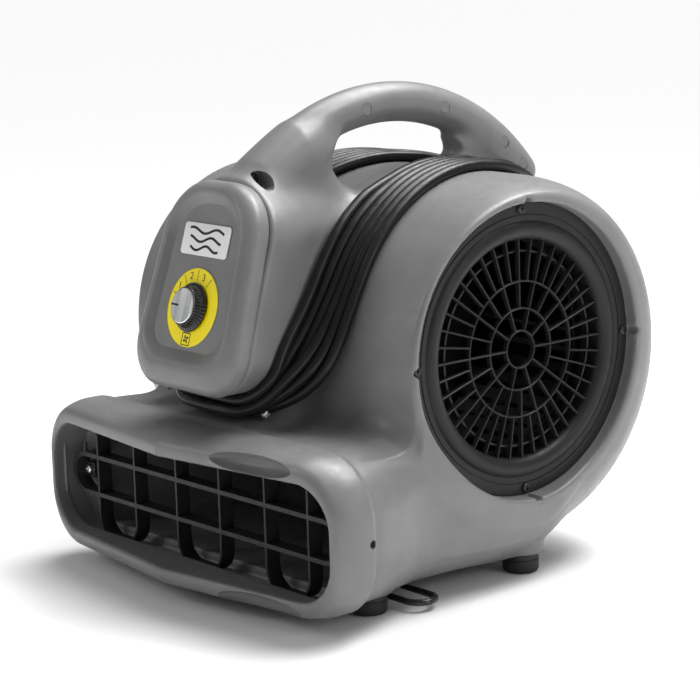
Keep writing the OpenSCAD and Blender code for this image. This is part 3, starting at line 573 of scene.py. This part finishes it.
# Stations round the winding, as in the CAD model: centre, direction in which layers rise, and how
# far the strands have gone from lying side by side (0) to lying three by two (1).
RIGHT_STATIONS = [
    ((0, -138, 143), (0, -0.3, -1), 1), ((32, -137, 145), (0.3, -0.3, -1), 1),
    ((57, -127, 158), (0.8, -0.5, -0.6), 0.6), ((66, -106, 176), (0.5, -1, 0), 0.1),
    ((67, -88, 203), (0, -1, 0.3), 0), ((65, -70, 234), (0, -0.9, 0.5), 0),
    ((61, -46, 263), (0, -0.7, 0.7), 0), ((56, -11, 289), (0, -0.5, 0.9), 0),
    ((51, 34, 304), (0, -0.15, 1), 0), ((46, 75, 306), (0, 0.15, 1), 0),
    ((42, 115, 295), (0, 0.4, 0.9), 0.3), ((34, 149, 276), (0.2, 0.6, 0.8), 0.8),
    ((18, 168, 259), (0.1, 0.75, 0.7), 1), ((0, 174, 252), (0, 0.8, 0.6), 1)]
LEFT_STATIONS = [
    ((-18, 168, 259), (-0.1, 0.75, 0.7), 1), ((-34, 149, 276), (-0.2, 0.6, 0.8), 0.8),
    ((-44, 115, 295), (0, 0.4, 0.9), 0.3), ((-50, 75, 306), (0, 0.15, 1), 0),
    ((-56, 34, 304), (0, -0.15, 1), 0), ((-62, -11, 289), (0, -0.5, 0.9), 0),
    ((-68, -46, 263), (0, -0.7, 0.7), 0), ((-72, -70, 234), (0, -0.9, 0.5), 0),
    ((-72, -88, 203), (0, -1, 0.3), 0), ((-68, -106, 176), (-0.5, -1, 0), 0.1),
    ((-57, -127, 158), (-0.8, -0.5, -0.6), 0.6), ((-32, -137, 145), (-0.3, -0.3, -1), 1)]
STATIONS = RIGHT_STATIONS + LEFT_STATIONS
SHIFT_FROM, SHIFT_TO = 19, 22            # a strand moves on to the next slot between these stations


def strand_point(slot, station):
    """Where a strand in the given slot, counted from the neck outwards, passes a station."""
    count = len(STATIONS)
    centre, rise, bunch = STATIONS[station]
    ahead = unit(np.subtract(STATIONS[(station + 1) % count][0], STATIONS[station - 1][0]))
    rise = np.array(rise, float)
    rise = unit(rise - (rise @ ahead) * ahead)
    across = np.cross(ahead, rise)
    column = ((slot % 3) - 1) * (CORD_D + 0.2)
    layer = (CORD_D + 0.2) * (slot > 2.5) - CORD_D / 2
    u = mix((slot - (CORD_TURNS - 1) / 2) * (CORD_D + 0.15), column, float(ease(bunch * 1.4 - 0.4)))
    v = mix(0, layer, float(ease(bunch * 1.6)))
    return np.array(centre, float) + u * across + v * rise


def catmull_rom(points, spacing):
    """Points at about the given spacing on a smooth curve through a list of points."""
    p = np.vstack([points[0], points, points[-1]])
    out = []
    for a, b, c, d in zip(p[:-3], p[1:-2], p[2:-1], p[3:]):
        steps = max(2, int(np.linalg.norm(c - b) / spacing))
        t = np.linspace(0, 1, steps, endpoint=False)[:, None]
        out.append(0.5 * (2 * b + (c - a) * t + (2 * a - 5 * b + 4 * c - d) * t ** 2
                          + (3 * b - a - 3 * c + d) * t ** 3))
    return np.vstack(out + [points[-1:]])


def evenly(path, spacing):
    """The same line with points an equal distance apart."""
    along = np.concatenate([[0], np.cumsum(np.linalg.norm(np.diff(path, axis=0), axis=1))])
    at = np.linspace(0, along[-1], int(along[-1] / spacing) + 1)
    return np.stack([np.interp(at, along, path[:, k]) for k in range(3)], 1)


def route_of_cord():
    """Centre line of the whole cord: out of the gland, round the neck and handle, and into the plug."""
    points = [GLAND + GLAND_OUT * d for d in (0, 14, 28, 38)]
    last = len(STATIONS)
    points += [strand_point(0, i) for i in (last - 2, last - 1)]
    for turn in range(CORD_TURNS):
        for i in range(last):
            slot = turn + float(ease((i - SHIFT_FROM) / (SHIFT_TO - SHIFT_FROM)))
            if turn == CORD_TURNS - 1 and i > last - 5:
                break
            points.append(strand_point(slot, i))
    points += [PLUG_SPOT + (0, 0, up) for up in (26, 12, 0, -8)]
    return evenly(catmull_rom(np.array(points), 5), 5.5)


def housing(x, y, z):
    return np.where(x > 0, outside(x, y, z), outside(x, y, z, DEEP_RIM_X))


def lay_on_housing(path, rounds):
    """Settles the strands on the housing and beside each other, as a wound cord lies."""
    first, last = 7, len(path) - 7
    index = np.arange(len(path))
    apart = np.abs(index[:, None] - index[None]) > 8
    for _ in range(rounds):
        pull = np.zeros_like(path)
        pull[1:-1] = (path[:-2] + path[2:]) / 2 - path[1:-1]
        moved = path + 0.5 * pull
        gap = moved[:, None] - moved[None]
        dist = np.linalg.norm(gap, axis=2) + 1e-6
        close = apart & (dist < CORD_D + 0.1)
        push = np.where(close, (CORD_D + 0.1 - dist) / dist * 0.5, 0)[..., None] * gap
        moved += push.sum(1) / np.maximum(close.sum(1), 1)[:, None] * 1.4
        field = housing(*moved.T)
        short = CORD_D / 2 + 0.05 - field
        g = gradient(housing, moved)
        g /= np.maximum(np.linalg.norm(g, axis=1), 0.3)[:, None]
        moved += np.where(short > 0, short, 0)[:, None] * g
        path = np.vstack([path[:first], moved[first:last], path[last:]])
    return path


def make_relief():
    """Ribbed, tapered strain relief with a flange against the boss of the gland."""
    profile = [(5.4, -8), (5.5, -1.2), (7, -1), (7.2, -0.4), (7.2, 1.4), (6.8, 2)]
    for k in range(5):
        start, r = 2.4 + 4.8 * k, 6.1 - 0.25 * k
        profile += [(r, start), (r + 0.15, start + 0.4), (r, start + 2.9), (r - 0.2, start + 3.2),
                    (r - 0.9, start + 3.4), (r - 1, start + 4.2)]
    profile += [(4.9, 27), (4.6, 28), (CORD_D / 2, 28), (CORD_D / 2, -8)]
    side = np.cross(GLAND_OUT, (1, 0, 0))
    part = placed(lathe_ring(profile, 64), GLAND, side, np.cross(GLAND_OUT, side), GLAND_OUT)
    finish_piece(sharpened(new_mesh("strain_relief", *part), 40), "machine", "cord_rubber",
                 "cord_relief")


def make_plug():
    """Moulded plug that hangs pins down, and its two pins."""
    r = 17.5
    profile = [(CORD_D / 2, 0.4), (5.6, 0.4), (6.2, 0), (6.4, -3), (6.2, -3.6), (6.2, -4.6), (7, -5),
               (7.4, -8), (7.2, -8.6), (7.2, -9.6), (8.2, -10), (9, -13), (11, -16), (15, -20.4), (16.8, -22),
               (r - 0.1, -23.4), (r, -26), (r - 0.7, -27), (r - 0.7, -28), (r, -29), (r - 0.7, -30),
               (r - 0.7, -31), (r, -32), (r, -38.6), (r - 0.5, -39.6), (r - 1.4, -40), (1, -40), (1, -12),
               (CORD_D / 2, -11)]
    axes = (1, 0, 0), (0, 1, 0), (0, 0, 1)
    body = placed(lathe_ring(profile, 96), PLUG_SPOT, *axes)
    plug = finish_piece(sharpened(new_mesh("plug", *body), 40), "machine", "cord_rubber", "plug_body")
    pin = lathe([(0.5, -59), (1.5, -58.8), (2.2, -57.8), (2.4, -56.4), (2.4, -39)], 48)
    pair = [placed(pin, PLUG_SPOT + (x, 0, 0), *axes) for x in (-9.5, 9.5)]
    pins = finish_piece(sharpened(new_mesh("pin_pair", *joined(pair)), 40), "machine", "pin_plating",
                        "plug_pins")
    return plug, pins


plug, pins = make_plug()
make_relief()


def tube(path, radius, sides):
    """A closed tube round a line, without twist."""
    ahead = np.gradient(path, axis=0)
    ahead /= np.linalg.norm(ahead, axis=1)[:, None]
    side = unit(np.cross(ahead[0], (0.3, 0.5, 0.8)))
    turn = np.linspace(0, 2 * math.pi, sides, endpoint=False)[:, None]
    rings = []
    for p, t in zip(path, ahead):
        side = unit(side - (side @ t) * t)
        rings.append(p + radius * (np.cos(turn) * side + np.sin(turn) * np.cross(t, side)))
    return capped(rings)


def make_cord():
    path = lay_on_housing(route_of_cord(), 60)
    path = evenly(path, 5)
    made = new_mesh("supply_cord", *tube(path, CORD_D / 2, 20))
    finish_piece(made, "machine", "cord_rubber", "cord_winding")


make_cord()

# ---------------------------------------------------------------- housing shells

CELL = 2.0
SEAM_GAP = 0.12                          # half of the gap between the two shells
HANDLE_HOLE_R = 4.9                      # holes round the handle's plugs


def lip_scoop(middle_x, half_x, middle_z):
    """A lens that cuts a shallow scoop into the front of the lip."""
    along = np.array([math.cos(SWEEP), math.sin(SWEEP), 0])
    dome = [(math.cos(a), math.sin(a)) for a in np.linspace(-1.4, 1.4, 29)]
    lens = lathe([(0.02, -1)] + dome + [(0.02, 1)], 96)
    spot = (middle_x, LIP_Y + middle_x * math.tan(SWEEP), middle_z)
    return placed(lens, spot, half_x * along, SCOOP_DEPTH * np.array([-along[1], along[0], 0]),
                  (0, 0, SCOOP_HALF))


def make_shell(side):
    name = "right_shell" if side > 0 else "left_shell"

    def field(x, y, z):
        return shell(x, y, z, side)

    start_x = -6.9 if side > 0 else -5.2     # keeps the narrow top of each rim clear of a grid plane
    verts, quads = surface_net(field, (start_x, -206, 2), (192, 208, 374), CELL)
    made = new_mesh(name, settle(field, verts), quads)
    work = bmesh.new()
    work.from_mesh(made.data)
    for vert in [v for v in work.verts if not v.is_manifold and all(e.is_manifold for e in v.link_edges)]:
        bmesh.utils.vert_separate(vert, [])
    cut = bmesh.ops.bisect_plane(work, geom=work.verts[:] + work.edges[:] + work.faces[:],
                                 plane_co=(SEAM_GAP * MM, 0, 0), plane_no=(1, 0, 0), clear_inner=True)
    rim = [e for e in cut["geom_cut"] if isinstance(e, bmesh.types.BMEdge)]
    bmesh.ops.triangle_fill(work, use_beauty=True, edges=rim, normal=(-1, 0, 0))
    bmesh.ops.recalc_face_normals(work, faces=work.faces[:])
    work.to_mesh(made.data)
    work.free()
    holes = [placed(lathe([(r, 0), (r, 60)], 48), (floor, y, z), (0, 1, 0), (0, 0, 1), (1, 0, 0))
             for y, z, r, floor in SCREW_RECESSES]
    holes.append(placed(lathe([(3.2, 0), (3.2, 20)], 32), COLLAR_HOLE, (0, 1, 0), (0, 0, 1), (1, 0, 0)))
    for degrees in HANDLE_PLUGS:
        a = math.radians(degrees)
        holes.append(placed(lathe([(HANDLE_HOLE_R, 0), (HANDLE_HOLE_R, 8)], 40), (
            GRIP_R - 3, HANDLE_Y + HANDLE_R * math.cos(a), HANDLE_Z + HANDLE_R * math.sin(a)),
            (0, 1, 0), (0, 0, 1), (1, 0, 0)))
    if side > 0:
        holes += [lip_scoop(*scoop) for scoop in SCOOPS]
    cutter = new_mesh("holes", *joined(holes))
    cut_with(made, cutter)
    if side < 0:
        made.data.transform(Matrix.Scale(-1, 4, (1, 0, 0)))
        made.data.flip_normals()
    sharpen(made, 50)
    finish_piece(made, "machine", "shell_plastic", "housing_right" if side > 0 else "housing_left")


for side in (1, -1):
    make_shell(side)

# ---------------------------------------------------------------- control panel

# Outlines of the panel: half width at the top and below, lowest and highest edge, and corner radii.
COVER_EDGE = np.array([55.5, 61.7, COVER_LOW, COVER_HIGH, 44, 30])
COVER_CREST = np.array([44, 48.5, -42, 86, 38, 24])
COVER_PLATE = np.array([38.5, 42, -32, 78, 33, 18])


def panel_ring(shape, inset, out):
    """One closed loop round the panel at a height out of it."""
    half_top, half_low, low, high, r_top, r_low = shape - np.array([1, 1, -1, 1, 1, 1]) * inset
    r_top, r_low = max(r_top, 3), max(r_low, 3)
    corners = ((half_top - r_top, high - r_top, r_top, 0), (r_top - half_top, high - r_top, r_top, 90),
               (r_low - half_low, low + r_low, r_low, 180), (half_low - r_low, low + r_low, r_low, 270))
    loop = []
    for u, v, r, start in corners:
        for a in np.radians(np.linspace(start, start + 90, 20)):
            loop.append((u + r * math.cos(a), v + r * math.sin(a)))
    loop = np.array(loop + loop[:1])
    along = np.concatenate([[0], np.cumsum(np.linalg.norm(np.diff(loop, axis=0), axis=1))])
    at = np.interp(np.linspace(0, 1, 193)[:-1], np.linspace(0, 1, len(along)), along)
    return np.stack([np.interp(at, along, loop[:, 0]), np.interp(at, along, loop[:, 1]),
                     np.full(len(at), out)], 1)


def make_cover():
    count = 192
    rings = []
    for t, out in ((0.05, 5.0), (0.12, 5.2), (0.22, 5.1), (0.36, 4.4), (0.54, 3.2), (0.7, 1.8), (0.82, 0.2),
                   (0.91, -1.6), (0.97, -3.4), (1, -5.4)):
        rings.append(panel_ring(mix(COVER_CREST, COVER_EDGE, t), 0, out))
    for inset, out in ((0, -11.4), (0.5, -11.9), (0.7, COVER_BACK + 0.4), (1.0, COVER_BACK)):
        rings.append(panel_ring(COVER_EDGE, inset, out))
    for inset, out in ((4, COVER_BACK), (4, -4), (6, -2.5)):
        rings.append(panel_ring(COVER_EDGE, inset, out))
    turn = np.linspace(0, 2 * math.pi, count, endpoint=False)
    for out in (-2.5, -0.3):
        rings.append(np.stack([6 * np.cos(turn), 6 * np.sin(turn), np.full(count, out)], 1))
    for t, inset, out in ((0, 3, 0), (0, 0.4, 0), (0.02, 0, 0.15), (0.06, 0, 0.5), (0.75, 0, 4.1),
                          (0.84, 0, 4.55), (0.94, 0, 4.85)):
        rings.append(panel_ring(mix(COVER_PLATE, COVER_CREST, t), inset, out))
    verts, faces = loft([r[::-1] for r in rings], closed=True)
    made = new_mesh("panel_cover", *on_panel_part((verts, faces)))
    sharpen(made, 40)
    finish_piece(made, "machine", "shell_plastic", "control_cover")


def lettering(text, size, across, up, turn=0.0):
    """Raised figures on the panel, as a part in millimetres."""
    curve = bpy.data.curves.new("figure", "FONT")
    curve.body, curve.size, curve.extrude = text, size, 0.12
    curve.align_x, curve.align_y = "CENTER", "CENTER"
    made = bpy.data.objects.new("figure", curve)
    bpy.context.scene.collection.objects.link(made)
    mesh = bpy.data.meshes.new_from_object(made.evaluated_get(bpy.context.evaluated_depsgraph_get()))
    verts = np.array([v.co for v in mesh.vertices])
    faces = [tuple(f.vertices) for f in mesh.polygons]
    bpy.data.objects.remove(made)
    c, s = math.cos(turn), math.sin(turn)
    verts = verts @ np.array([[c, s, 0], [-s, c, 0], [0, 0, 1]]) + (across, up, 0)
    return verts, faces


def ribbon(path, width, low, high):
    """A flat strip along a line drawn on the panel."""
    path = np.array(path, float)
    ahead = np.gradient(path, axis=0)
    ahead /= np.linalg.norm(ahead, axis=1)[:, None]
    side = np.stack([-ahead[:, 1], ahead[:, 0]], 1) * width / 2
    rings = []
    for p, s in zip(path, side):
        rings.append(np.array([(*(p - s), low), (*(p + s), low), (*(p + s), high), (*(p - s), high)]))
    return capped(rings)


def plate(shape, low, high, edge):
    """A flat plate on the panel with a small rounded edge."""
    steps = ((edge, low), (0, low + edge), (0, high - edge), (edge * 0.3, high - edge * 0.3), (edge, high))
    return capped([panel_ring(shape, inset, out) for inset, out in steps])


DIAL_R, DIAL_TOP = 29.5, 0.8
BADGE = np.array([28, 28, 38.5, 62.5, 2.2, 2.2])
BADGE_TOP = 1.2
FIGURES = (("1", 144, 24.6), ("2", 109, 24.2), ("3", 73, 23.8))
TICKS = (160, 126, 91, 54)


def make_badge():
    finish_piece(sharpened(new_mesh("badge", *on_panel_part(plate(BADGE, 0, BADGE_TOP, 0.3)))), "machine",
                 "badge_white", "badge_plate")
    t = np.linspace(-1, 1, 49)
    waves = [ribbon(np.stack([19 * t * (1 - 0.1 * row), 50.5 - 6.5 * row + 1.9 * np.sin(4.6 * t + row)], 1),
                    1.9, BADGE_TOP - 0.1, BADGE_TOP + 0.14) for row in (-1, 0, 1)]
    finish_piece(new_mesh("badge_waves", *on_panel_part(joined(waves)), smooth=False), "machine",
                 "guard_plastic")


def arc(radius, start, stop, count=17):
    a = np.radians(np.linspace(start, stop, count))
    return np.stack([radius * np.cos(a), radius * np.sin(a)], 1)


def make_dial():
    profile = [(DIAL_R - 0.3, 0), (DIAL_R, 0.15), (DIAL_R, DIAL_TOP - 0.25), (DIAL_R - 0.25, DIAL_TOP)]
    ring = lathe_ring(profile + [(7.5, DIAL_TOP), (7.5, 0)], 160)
    finish_piece(sharpened(new_mesh("dial", *on_panel_part(ring))), "machine", "dial_yellow", "dial_disc")
    low, high = DIAL_TOP - 0.08, DIAL_TOP + 0.1
    marks = []
    for text, degrees, radius in FIGURES:
        a = math.radians(degrees)
        verts, faces = lettering(text, 7.6, radius * math.cos(a), radius * math.sin(a))
        marks.append((verts + (0, 0, DIAL_TOP), faces))
    for degrees in TICKS:
        a = math.radians(degrees)
        line = np.linspace(20, 28, 3)[:, None] * (math.cos(a), math.sin(a))
        marks.append(ribbon(line, 0.45, low, high))
    frame_w = 4.6
    square = [(-frame_w, -28.1), (frame_w, -28.1), (frame_w, -19.1), (-frame_w, -19.1)]
    for a, b in zip(square, square[1:] + square[:1]):
        marks.append(ribbon(np.linspace(a, b, 3), 0.7, low, high))
    for quarter in range(4):
        a = math.radians(90 * quarter + 25)
        petal = arc(1, 0, 330, 12) * (1.55, 0.85) + (1.9, 0.35)
        spun = petal @ np.array([[math.cos(a), math.sin(a)], [-math.sin(a), math.cos(a)]]) + (0, -23.6)
        marks.append(capped([np.hstack([spun, np.full((12, 1), h)]) for h in (low, high)]))
    finish_piece(new_mesh("dial_marks", *on_panel_part(joined(marks)), smooth=False), "machine",
                 "black_plastic")


KNOB_R, KNOB_BASE, KNOB_TOP = 18.5, 1.2, 9.2


def make_knob():
    def flutes(turn, r, h):
        depth = 0.55 if KNOB_BASE + 0.8 < h < KNOB_BASE + 7 and r > 13.8 else 0
        wave = np.abs(np.cos(20 * turn)) ** 4
        return r - depth * wave

    r_top = KNOB_R - 4.2
    profile = [(8, KNOB_BASE + 3), (8, KNOB_BASE), (KNOB_R - 0.4, KNOB_BASE), (KNOB_R, KNOB_BASE + 0.5),
               (KNOB_R, KNOB_BASE + 0.7), (KNOB_R - 0.1, KNOB_BASE + 1.6), (KNOB_R - 0.9, KNOB_BASE + 2.4),
               (KNOB_R - 2.2, KNOB_BASE + 3), (KNOB_R - 2.8, KNOB_BASE + 4), (r_top + 0.5, KNOB_BASE + 6.8),
               (r_top, KNOB_TOP - 0.1), (r_top - 0.25, KNOB_TOP + 0.2), (r_top - 0.8, KNOB_TOP + 0.3),
               (r_top - 1.1, KNOB_TOP)]
    body = lathe(profile, 384, flutes)
    finish_piece(sharpened(new_mesh("knob_body", *on_panel_part(body)), 30), "knob", "knob_plastic",
                 "speed_knob")
    r_cap = r_top - 1.15
    cap = lathe([(r_cap, KNOB_TOP - 0.2), (r_cap, KNOB_TOP + 0.8), (r_cap - 0.5, KNOB_TOP + 1.15),
                 (r_cap - 2, KNOB_TOP + 1.2), (1, KNOB_TOP + 1.2)], 160)
    finish_piece(sharpened(new_mesh("knob_face", *on_panel_part(cap)), 30), "knob", "cap_metal", "knob_cap")
    bar = ribbon([(-r_cap + 0.2, 0), (-9, 0), (-4.5, 0)], 1.4, KNOB_TOP + 0.5, KNOB_TOP + 1.35)
    finish_piece(new_mesh("knob_mark", *on_panel_part(bar), smooth=False), "knob", "knob_plastic",
                 "knob_pointer")


make_cover()
make_badge()
make_dial()
make_knob()

# ---------------------------------------------------------------- inlet guards

GUARD_RINGS = ((13.3, 14.7), (30.1, 31.5), (50.4, 51.8))
GUARD_SPOKES = ((10, 14, 30.6), (20, 31, 51), (40, 51.4, 82.6))
WEB_LOW, WEB_HIGH, BAR_W = 140.2, 144.4, 1.4
DASH_LOW, DASH_R = 134, (72.5, 74)
THROAT_R = 82
BELL_R = 8
BELL_MID = THROAT_R + BELL_R
FLANGE_LOW, FLANGE_HIGH = 145.1, 146.2
SCREW_RING = 105.5


def round_bar(start, stop, width, low, high):
    """A straight bar along a radius with rounded upper edges."""
    half, cut = width / 2, 0.45
    section = [(-half, low), (half, low), (half, high - cut), (half - cut, high), (cut - half, high),
               (-half, high - cut)]
    return capped([np.array([(r, u, h) for u, h in section]) for r in (start, stop)])


def turned(part, angle):
    verts, faces = part
    c, s = math.cos(angle), math.sin(angle)
    return verts @ np.array([[c, s, 0], [-s, c, 0], [0, 0, 1]]), faces


def guard_parts():
    parts = []
    for inner, outer in GUARD_RINGS:
        parts.append(lathe_ring([(inner, WEB_LOW), (outer, WEB_LOW), (outer, WEB_HIGH - 0.45),
                                 (outer - 0.45, WEB_HIGH), (inner + 0.45, WEB_HIGH),
                                 (inner, WEB_HIGH - 0.45)], 96))
    for count, start, stop in GUARD_SPOKES:
        for i in range(count):
            parts.append(turned(round_bar(start, stop, BAR_W, WEB_LOW, WEB_HIGH), 2 * math.pi * i / count))
    parts.append(lathe_ring([(DASH_R[0], DASH_LOW), (DASH_R[1], DASH_LOW), (DASH_R[1], WEB_LOW + 0.6),
                             (DASH_R[0], WEB_LOW + 0.6)], 96))
    top, edge = FLANGE_HIGH, BELL_MID + BELL_R
    outer = [(BELL_MID - BELL_R * math.cos(a), 141 + BELL_R * math.sin(a)) for a in np.linspace(0, 2.45, 21)]
    flange = [(edge - 0.2, top), (edge + 2.4, top), (edge + 2.6, top - 0.7), (edge + 3.3, top - 0.7),
              (edge + 3.5, top), (RIM_R - 0.8, top), (RIM_R - 0.2, top - 0.4), (RIM_R - 0.2, FLANGE_LOW),
              (edge - 2, FLANGE_LOW)]
    inner = [(BELL_MID - 5.6 * math.cos(a), 141 + 5.6 * math.sin(a)) for a in np.linspace(2.5, 0, 13)]
    bell = [(THROAT_R, 131)] + outer + flange + inner + [(THROAT_R + 2.4, 131)]
    parts.append(lathe_ring(bell, 192))
    return parts


def on_fan_axis(part):
    return placed(part, (0, AXIS_Y, AXIS_Z), (0, 1, 0), (0, 0, 1), (1, 0, 0))


def screw_part(head_r, head_h, shank_r, shank, sides=64):
    """A pan-head screw whose head sits on height 0."""
    dome = [(head_r, 0), (head_r, head_h * 0.35), (head_r * 0.94, head_h * 0.62),
            (head_r * 0.78, head_h * 0.86), (head_r * 0.45, head_h * 0.98), (0.3, head_h)]
    return lathe([(shank_r * 0.6, -shank), (shank_r, 1.2 - shank), (shank_r, 0)] + dome, sides)


def cross_cutter(head_r, head_h):
    size, deep = head_r * 0.62, head_h * 0.6
    arms = []
    for half_u, half_v in ((size, head_r * 0.14), (head_r * 0.14, size)):
        rings = []
        for h, grow in ((head_h - deep, 0.6), (head_h + 1, 1.15)):
            rings.append(np.array([(-half_u * grow, -half_v, h), (half_u * grow, -half_v, h),
                                   (half_u * grow, half_v, h), (-half_u * grow, half_v, h)]))
        arms.append(capped(rings))
    return arms


def make_screws(name, slot, stands_for, spots, head_r, head_h, shank_r, shank):
    """Screws at spots, each an origin and its three axes."""
    screws, cutters = [], ([], [])
    for spot in spots:
        screws.append(placed(screw_part(head_r, head_h, shank_r, shank), *spot))
        for k, arm in enumerate(cross_cutter(head_r, head_h)):
            cutters[k].append(placed(arm, *spot))
    made = new_mesh(name, *joined(screws))
    for cutter in cutters:
        cut_with(made, new_mesh("cross", *joined(cutter), smooth=False))
    finish_piece(sharpened(made, 30), "machine", slot, *stands_for)


def out_to_side(x, y, z, side):
    """Frame of a screw that points along X, outwards on the given side."""
    return (side * x, y, z), (0, side, 0), (0, 0, 1), (side, 0, 0)


def make_guard(side):
    part = on_fan_axis(joined(guard_parts()))
    made = new_mesh("right_inlet_guard" if side > 0 else "left_inlet_guard",
                    *(part if side > 0 else mirrored(part)))
    finish_piece(sharpened(made, 32), "machine", "guard_plastic",
                 "inlet_guard_right" if side > 0 else "inlet_guard_left")


for side in (1, -1):
    make_guard(side)
quarters = [math.radians(90 * i) for i in range(4)]
guard_spots = [out_to_side(FLANGE_HIGH + 0.1, AXIS_Y + SCREW_RING * math.cos(a),
                           AXIS_Z + SCREW_RING * math.sin(a), side) for a in quarters for side in (1, -1)]
make_screws("inlet_guard_screws", "dark_steel", ["guard_screws"], guard_spots, 3.8, 2.4, 1.9, 6)
make_screws("housing_screw", "fastener_steel", ["housing_screws"],
            [out_to_side(SCREW_RECESSES[0][3] + 0.1, *SCREW_RECESSES[0][:2], 1)], 3.6, 2.4, 2, 60)
make_screws("neck_screw", "dark_steel", [],
            [out_to_side(SCREW_RECESSES[1][3] + 0.1, *SCREW_RECESSES[1][:2], 1)], 5, 2.6, 2, 32)
make_screws("grille_screw_pair", "fastener_steel", ["grille_screws"],
            [((s * GRILLE_SCREW_X, GRILLE_FRONT + 8.9, RAIL_Z), (1, 0, 0), (0, 0, 1), (0, -1, 0))
             for s in (1, -1)], 3.8, 2.2, 1.9, 12)

# ---------------------------------------------------------------- feet


def make_feet(name, y, stands_for):
    feet = []
    for s in (-1, 1):
        r = FOOT_R
        profile = [(5, 5), (5, 0.5), (5.4, 0), (r - 2.6, 0), (r - 1.1, 0.5), (r - 0.4, 1.5), (r - 0.1, 3),
                   (r - 0.1, BASE_Z - 2.4), (r - 0.6, BASE_Z - 1.8), (r - 0.1, BASE_Z - 1.2),
                   (r - 0.1, BASE_Z + 2), (3, BASE_Z + 2), (2.4, BASE_Z + 1.6), (2.4, 5)]
        feet.append(placed(lathe_ring(profile, 96), (s * FOOT_X, y, 0), (1, 0, 0), (0, 1, 0), (0, 0, 1)))
    finish_piece(sharpened(new_mesh(name, *joined(feet))), "machine", "foot_rubber", stands_for)


make_feet("front_foot_pair", FOOT_Y[0], "front_feet")
make_feet("rear_foot_pair", FOOT_Y[1], "rear_feet")

# ---------------------------------------------------------------- ribs in the mouth

RIB_LOW, RIB_HIGH, RIB_W = 38, 96, 2.6


def make_mouth_ribs():
    """Two upright ribs on each side wall of the mouth, one each side of the grille."""
    ribs = []
    turn = np.linspace(0, 2 * math.pi, 16, endpoint=False)
    for y in (-165, -146):
        rings = []
        for z, shrink in ((RIB_LOW, 0.5), (RIB_LOW + 2, 1), (RIB_HIGH - 2, 1), (RIB_HIGH, 0.5)):
            rings.append(np.stack([MOUTH_HALF + 0.4 - RIB_W * 0.8 * shrink * np.cos(turn),
                                   y + RIB_W / 2 * shrink * np.sin(turn), np.full(16, z)], 1))
        rib = capped([r[::-1] for r in rings])
        ribs += [rib, mirrored(rib)]
    finish_piece(sharpened(new_mesh("mouth_ribs", *joined(ribs)), 60), "machine", "shell_plastic")


make_mouth_ribs()

# ---------------------------------------------------------------- CAD pieces that stay


def soften_cad_piece(node):
    """Rounds the edges of a CAD piece a little without touching the piece itself."""
    weld = node.modifiers.new("weld", "WELD")
    weld.merge_threshold = 0.01 * MM
    bevel = node.modifiers.new("soft edges", "BEVEL")
    bevel.width = 0.4 * MM
    bevel.segments = 2
    bevel.limit_method = "ANGLE"
    bevel.angle_limit = math.radians(38)
    bevel.harden_normals = True


replaced = {name for obj in bpy.data.objects for name in obj.get("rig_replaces", [])}
for part in frame["record"]["subparts"]:
    node = nodes[part["node"]]
    node.data.materials.clear()
    node.data.materials.append(FINISHES[part["material_slot"]])
    if part["node"] not in replaced:
        soften_cad_piece(node)

# ---------------------------------------------------------------- studio


def area_light(name, spot, aim, width, height, watts):
    data = bpy.data.lights.new(name, "AREA")
    data.shape, data.size, data.size_y, data.energy = "RECTANGLE", width, height, watts
    made = bpy.data.objects.new(name, data)
    made.location = spot
    made.rotation_euler = (Vector(aim) - Vector(spot)).to_track_quat("-Z", "Y").to_euler()
    bpy.context.scene.collection.objects.link(made)
    return made


def make_floor():
    half = 25.0
    mesh = bpy.data.meshes.new("floor")
    corners = [(-half, -half, 0), (half, -half, 0), (half, half, 0), (-half, half, 0)]
    mesh.from_pydata(corners, [], [(0, 1, 2, 3)])
    floor = bpy.data.objects.new("floor", mesh)
    bpy.context.scene.collection.objects.link(floor)
    floor.location.z = -0.0004
    floor.data.materials.append(finish("studio floor", (0.92, 0.92, 0.92), 0.8, blotch=0.004, grain=0.02,
                                       gloss=0.2))


def make_world():
    world = bpy.data.worlds.new("studio")
    world.use_nodes = True
    world.node_tree.nodes["Background"].inputs["Color"].default_value = (1, 1, 1, 1)
    world.node_tree.nodes["Background"].inputs["Strength"].default_value = 0.27
    bpy.context.scene.world = world


def sun_light(spot, strength, softness):
    data = bpy.data.lights.new("skylight", "SUN")
    data.energy, data.angle = strength, math.radians(softness)
    made = bpy.data.objects.new("skylight", data)
    made.rotation_euler = (-Vector(spot)).to_track_quat("-Z", "Y").to_euler()
    bpy.context.scene.collection.objects.link(made)


make_floor()
make_world()
bpy.context.scene.view_settings.view_transform = "Standard"
sun_light((-0.2, 0.5, 1), 2.8, 40)
area_light("overhead", (0.3, 0.5, 1.25), (0.1, 0.05, 0.25), 0.9, 0.5, 16)
area_light("from the left", (-1.1, -1.6, 1.2), (0, -0.1, 0.2), 0.5, 0.9, 7)
area_light("from the right", (1.7, 0.3, 0.7), (0.1, 0, 0.15), 0.5, 0.9, 4.5)
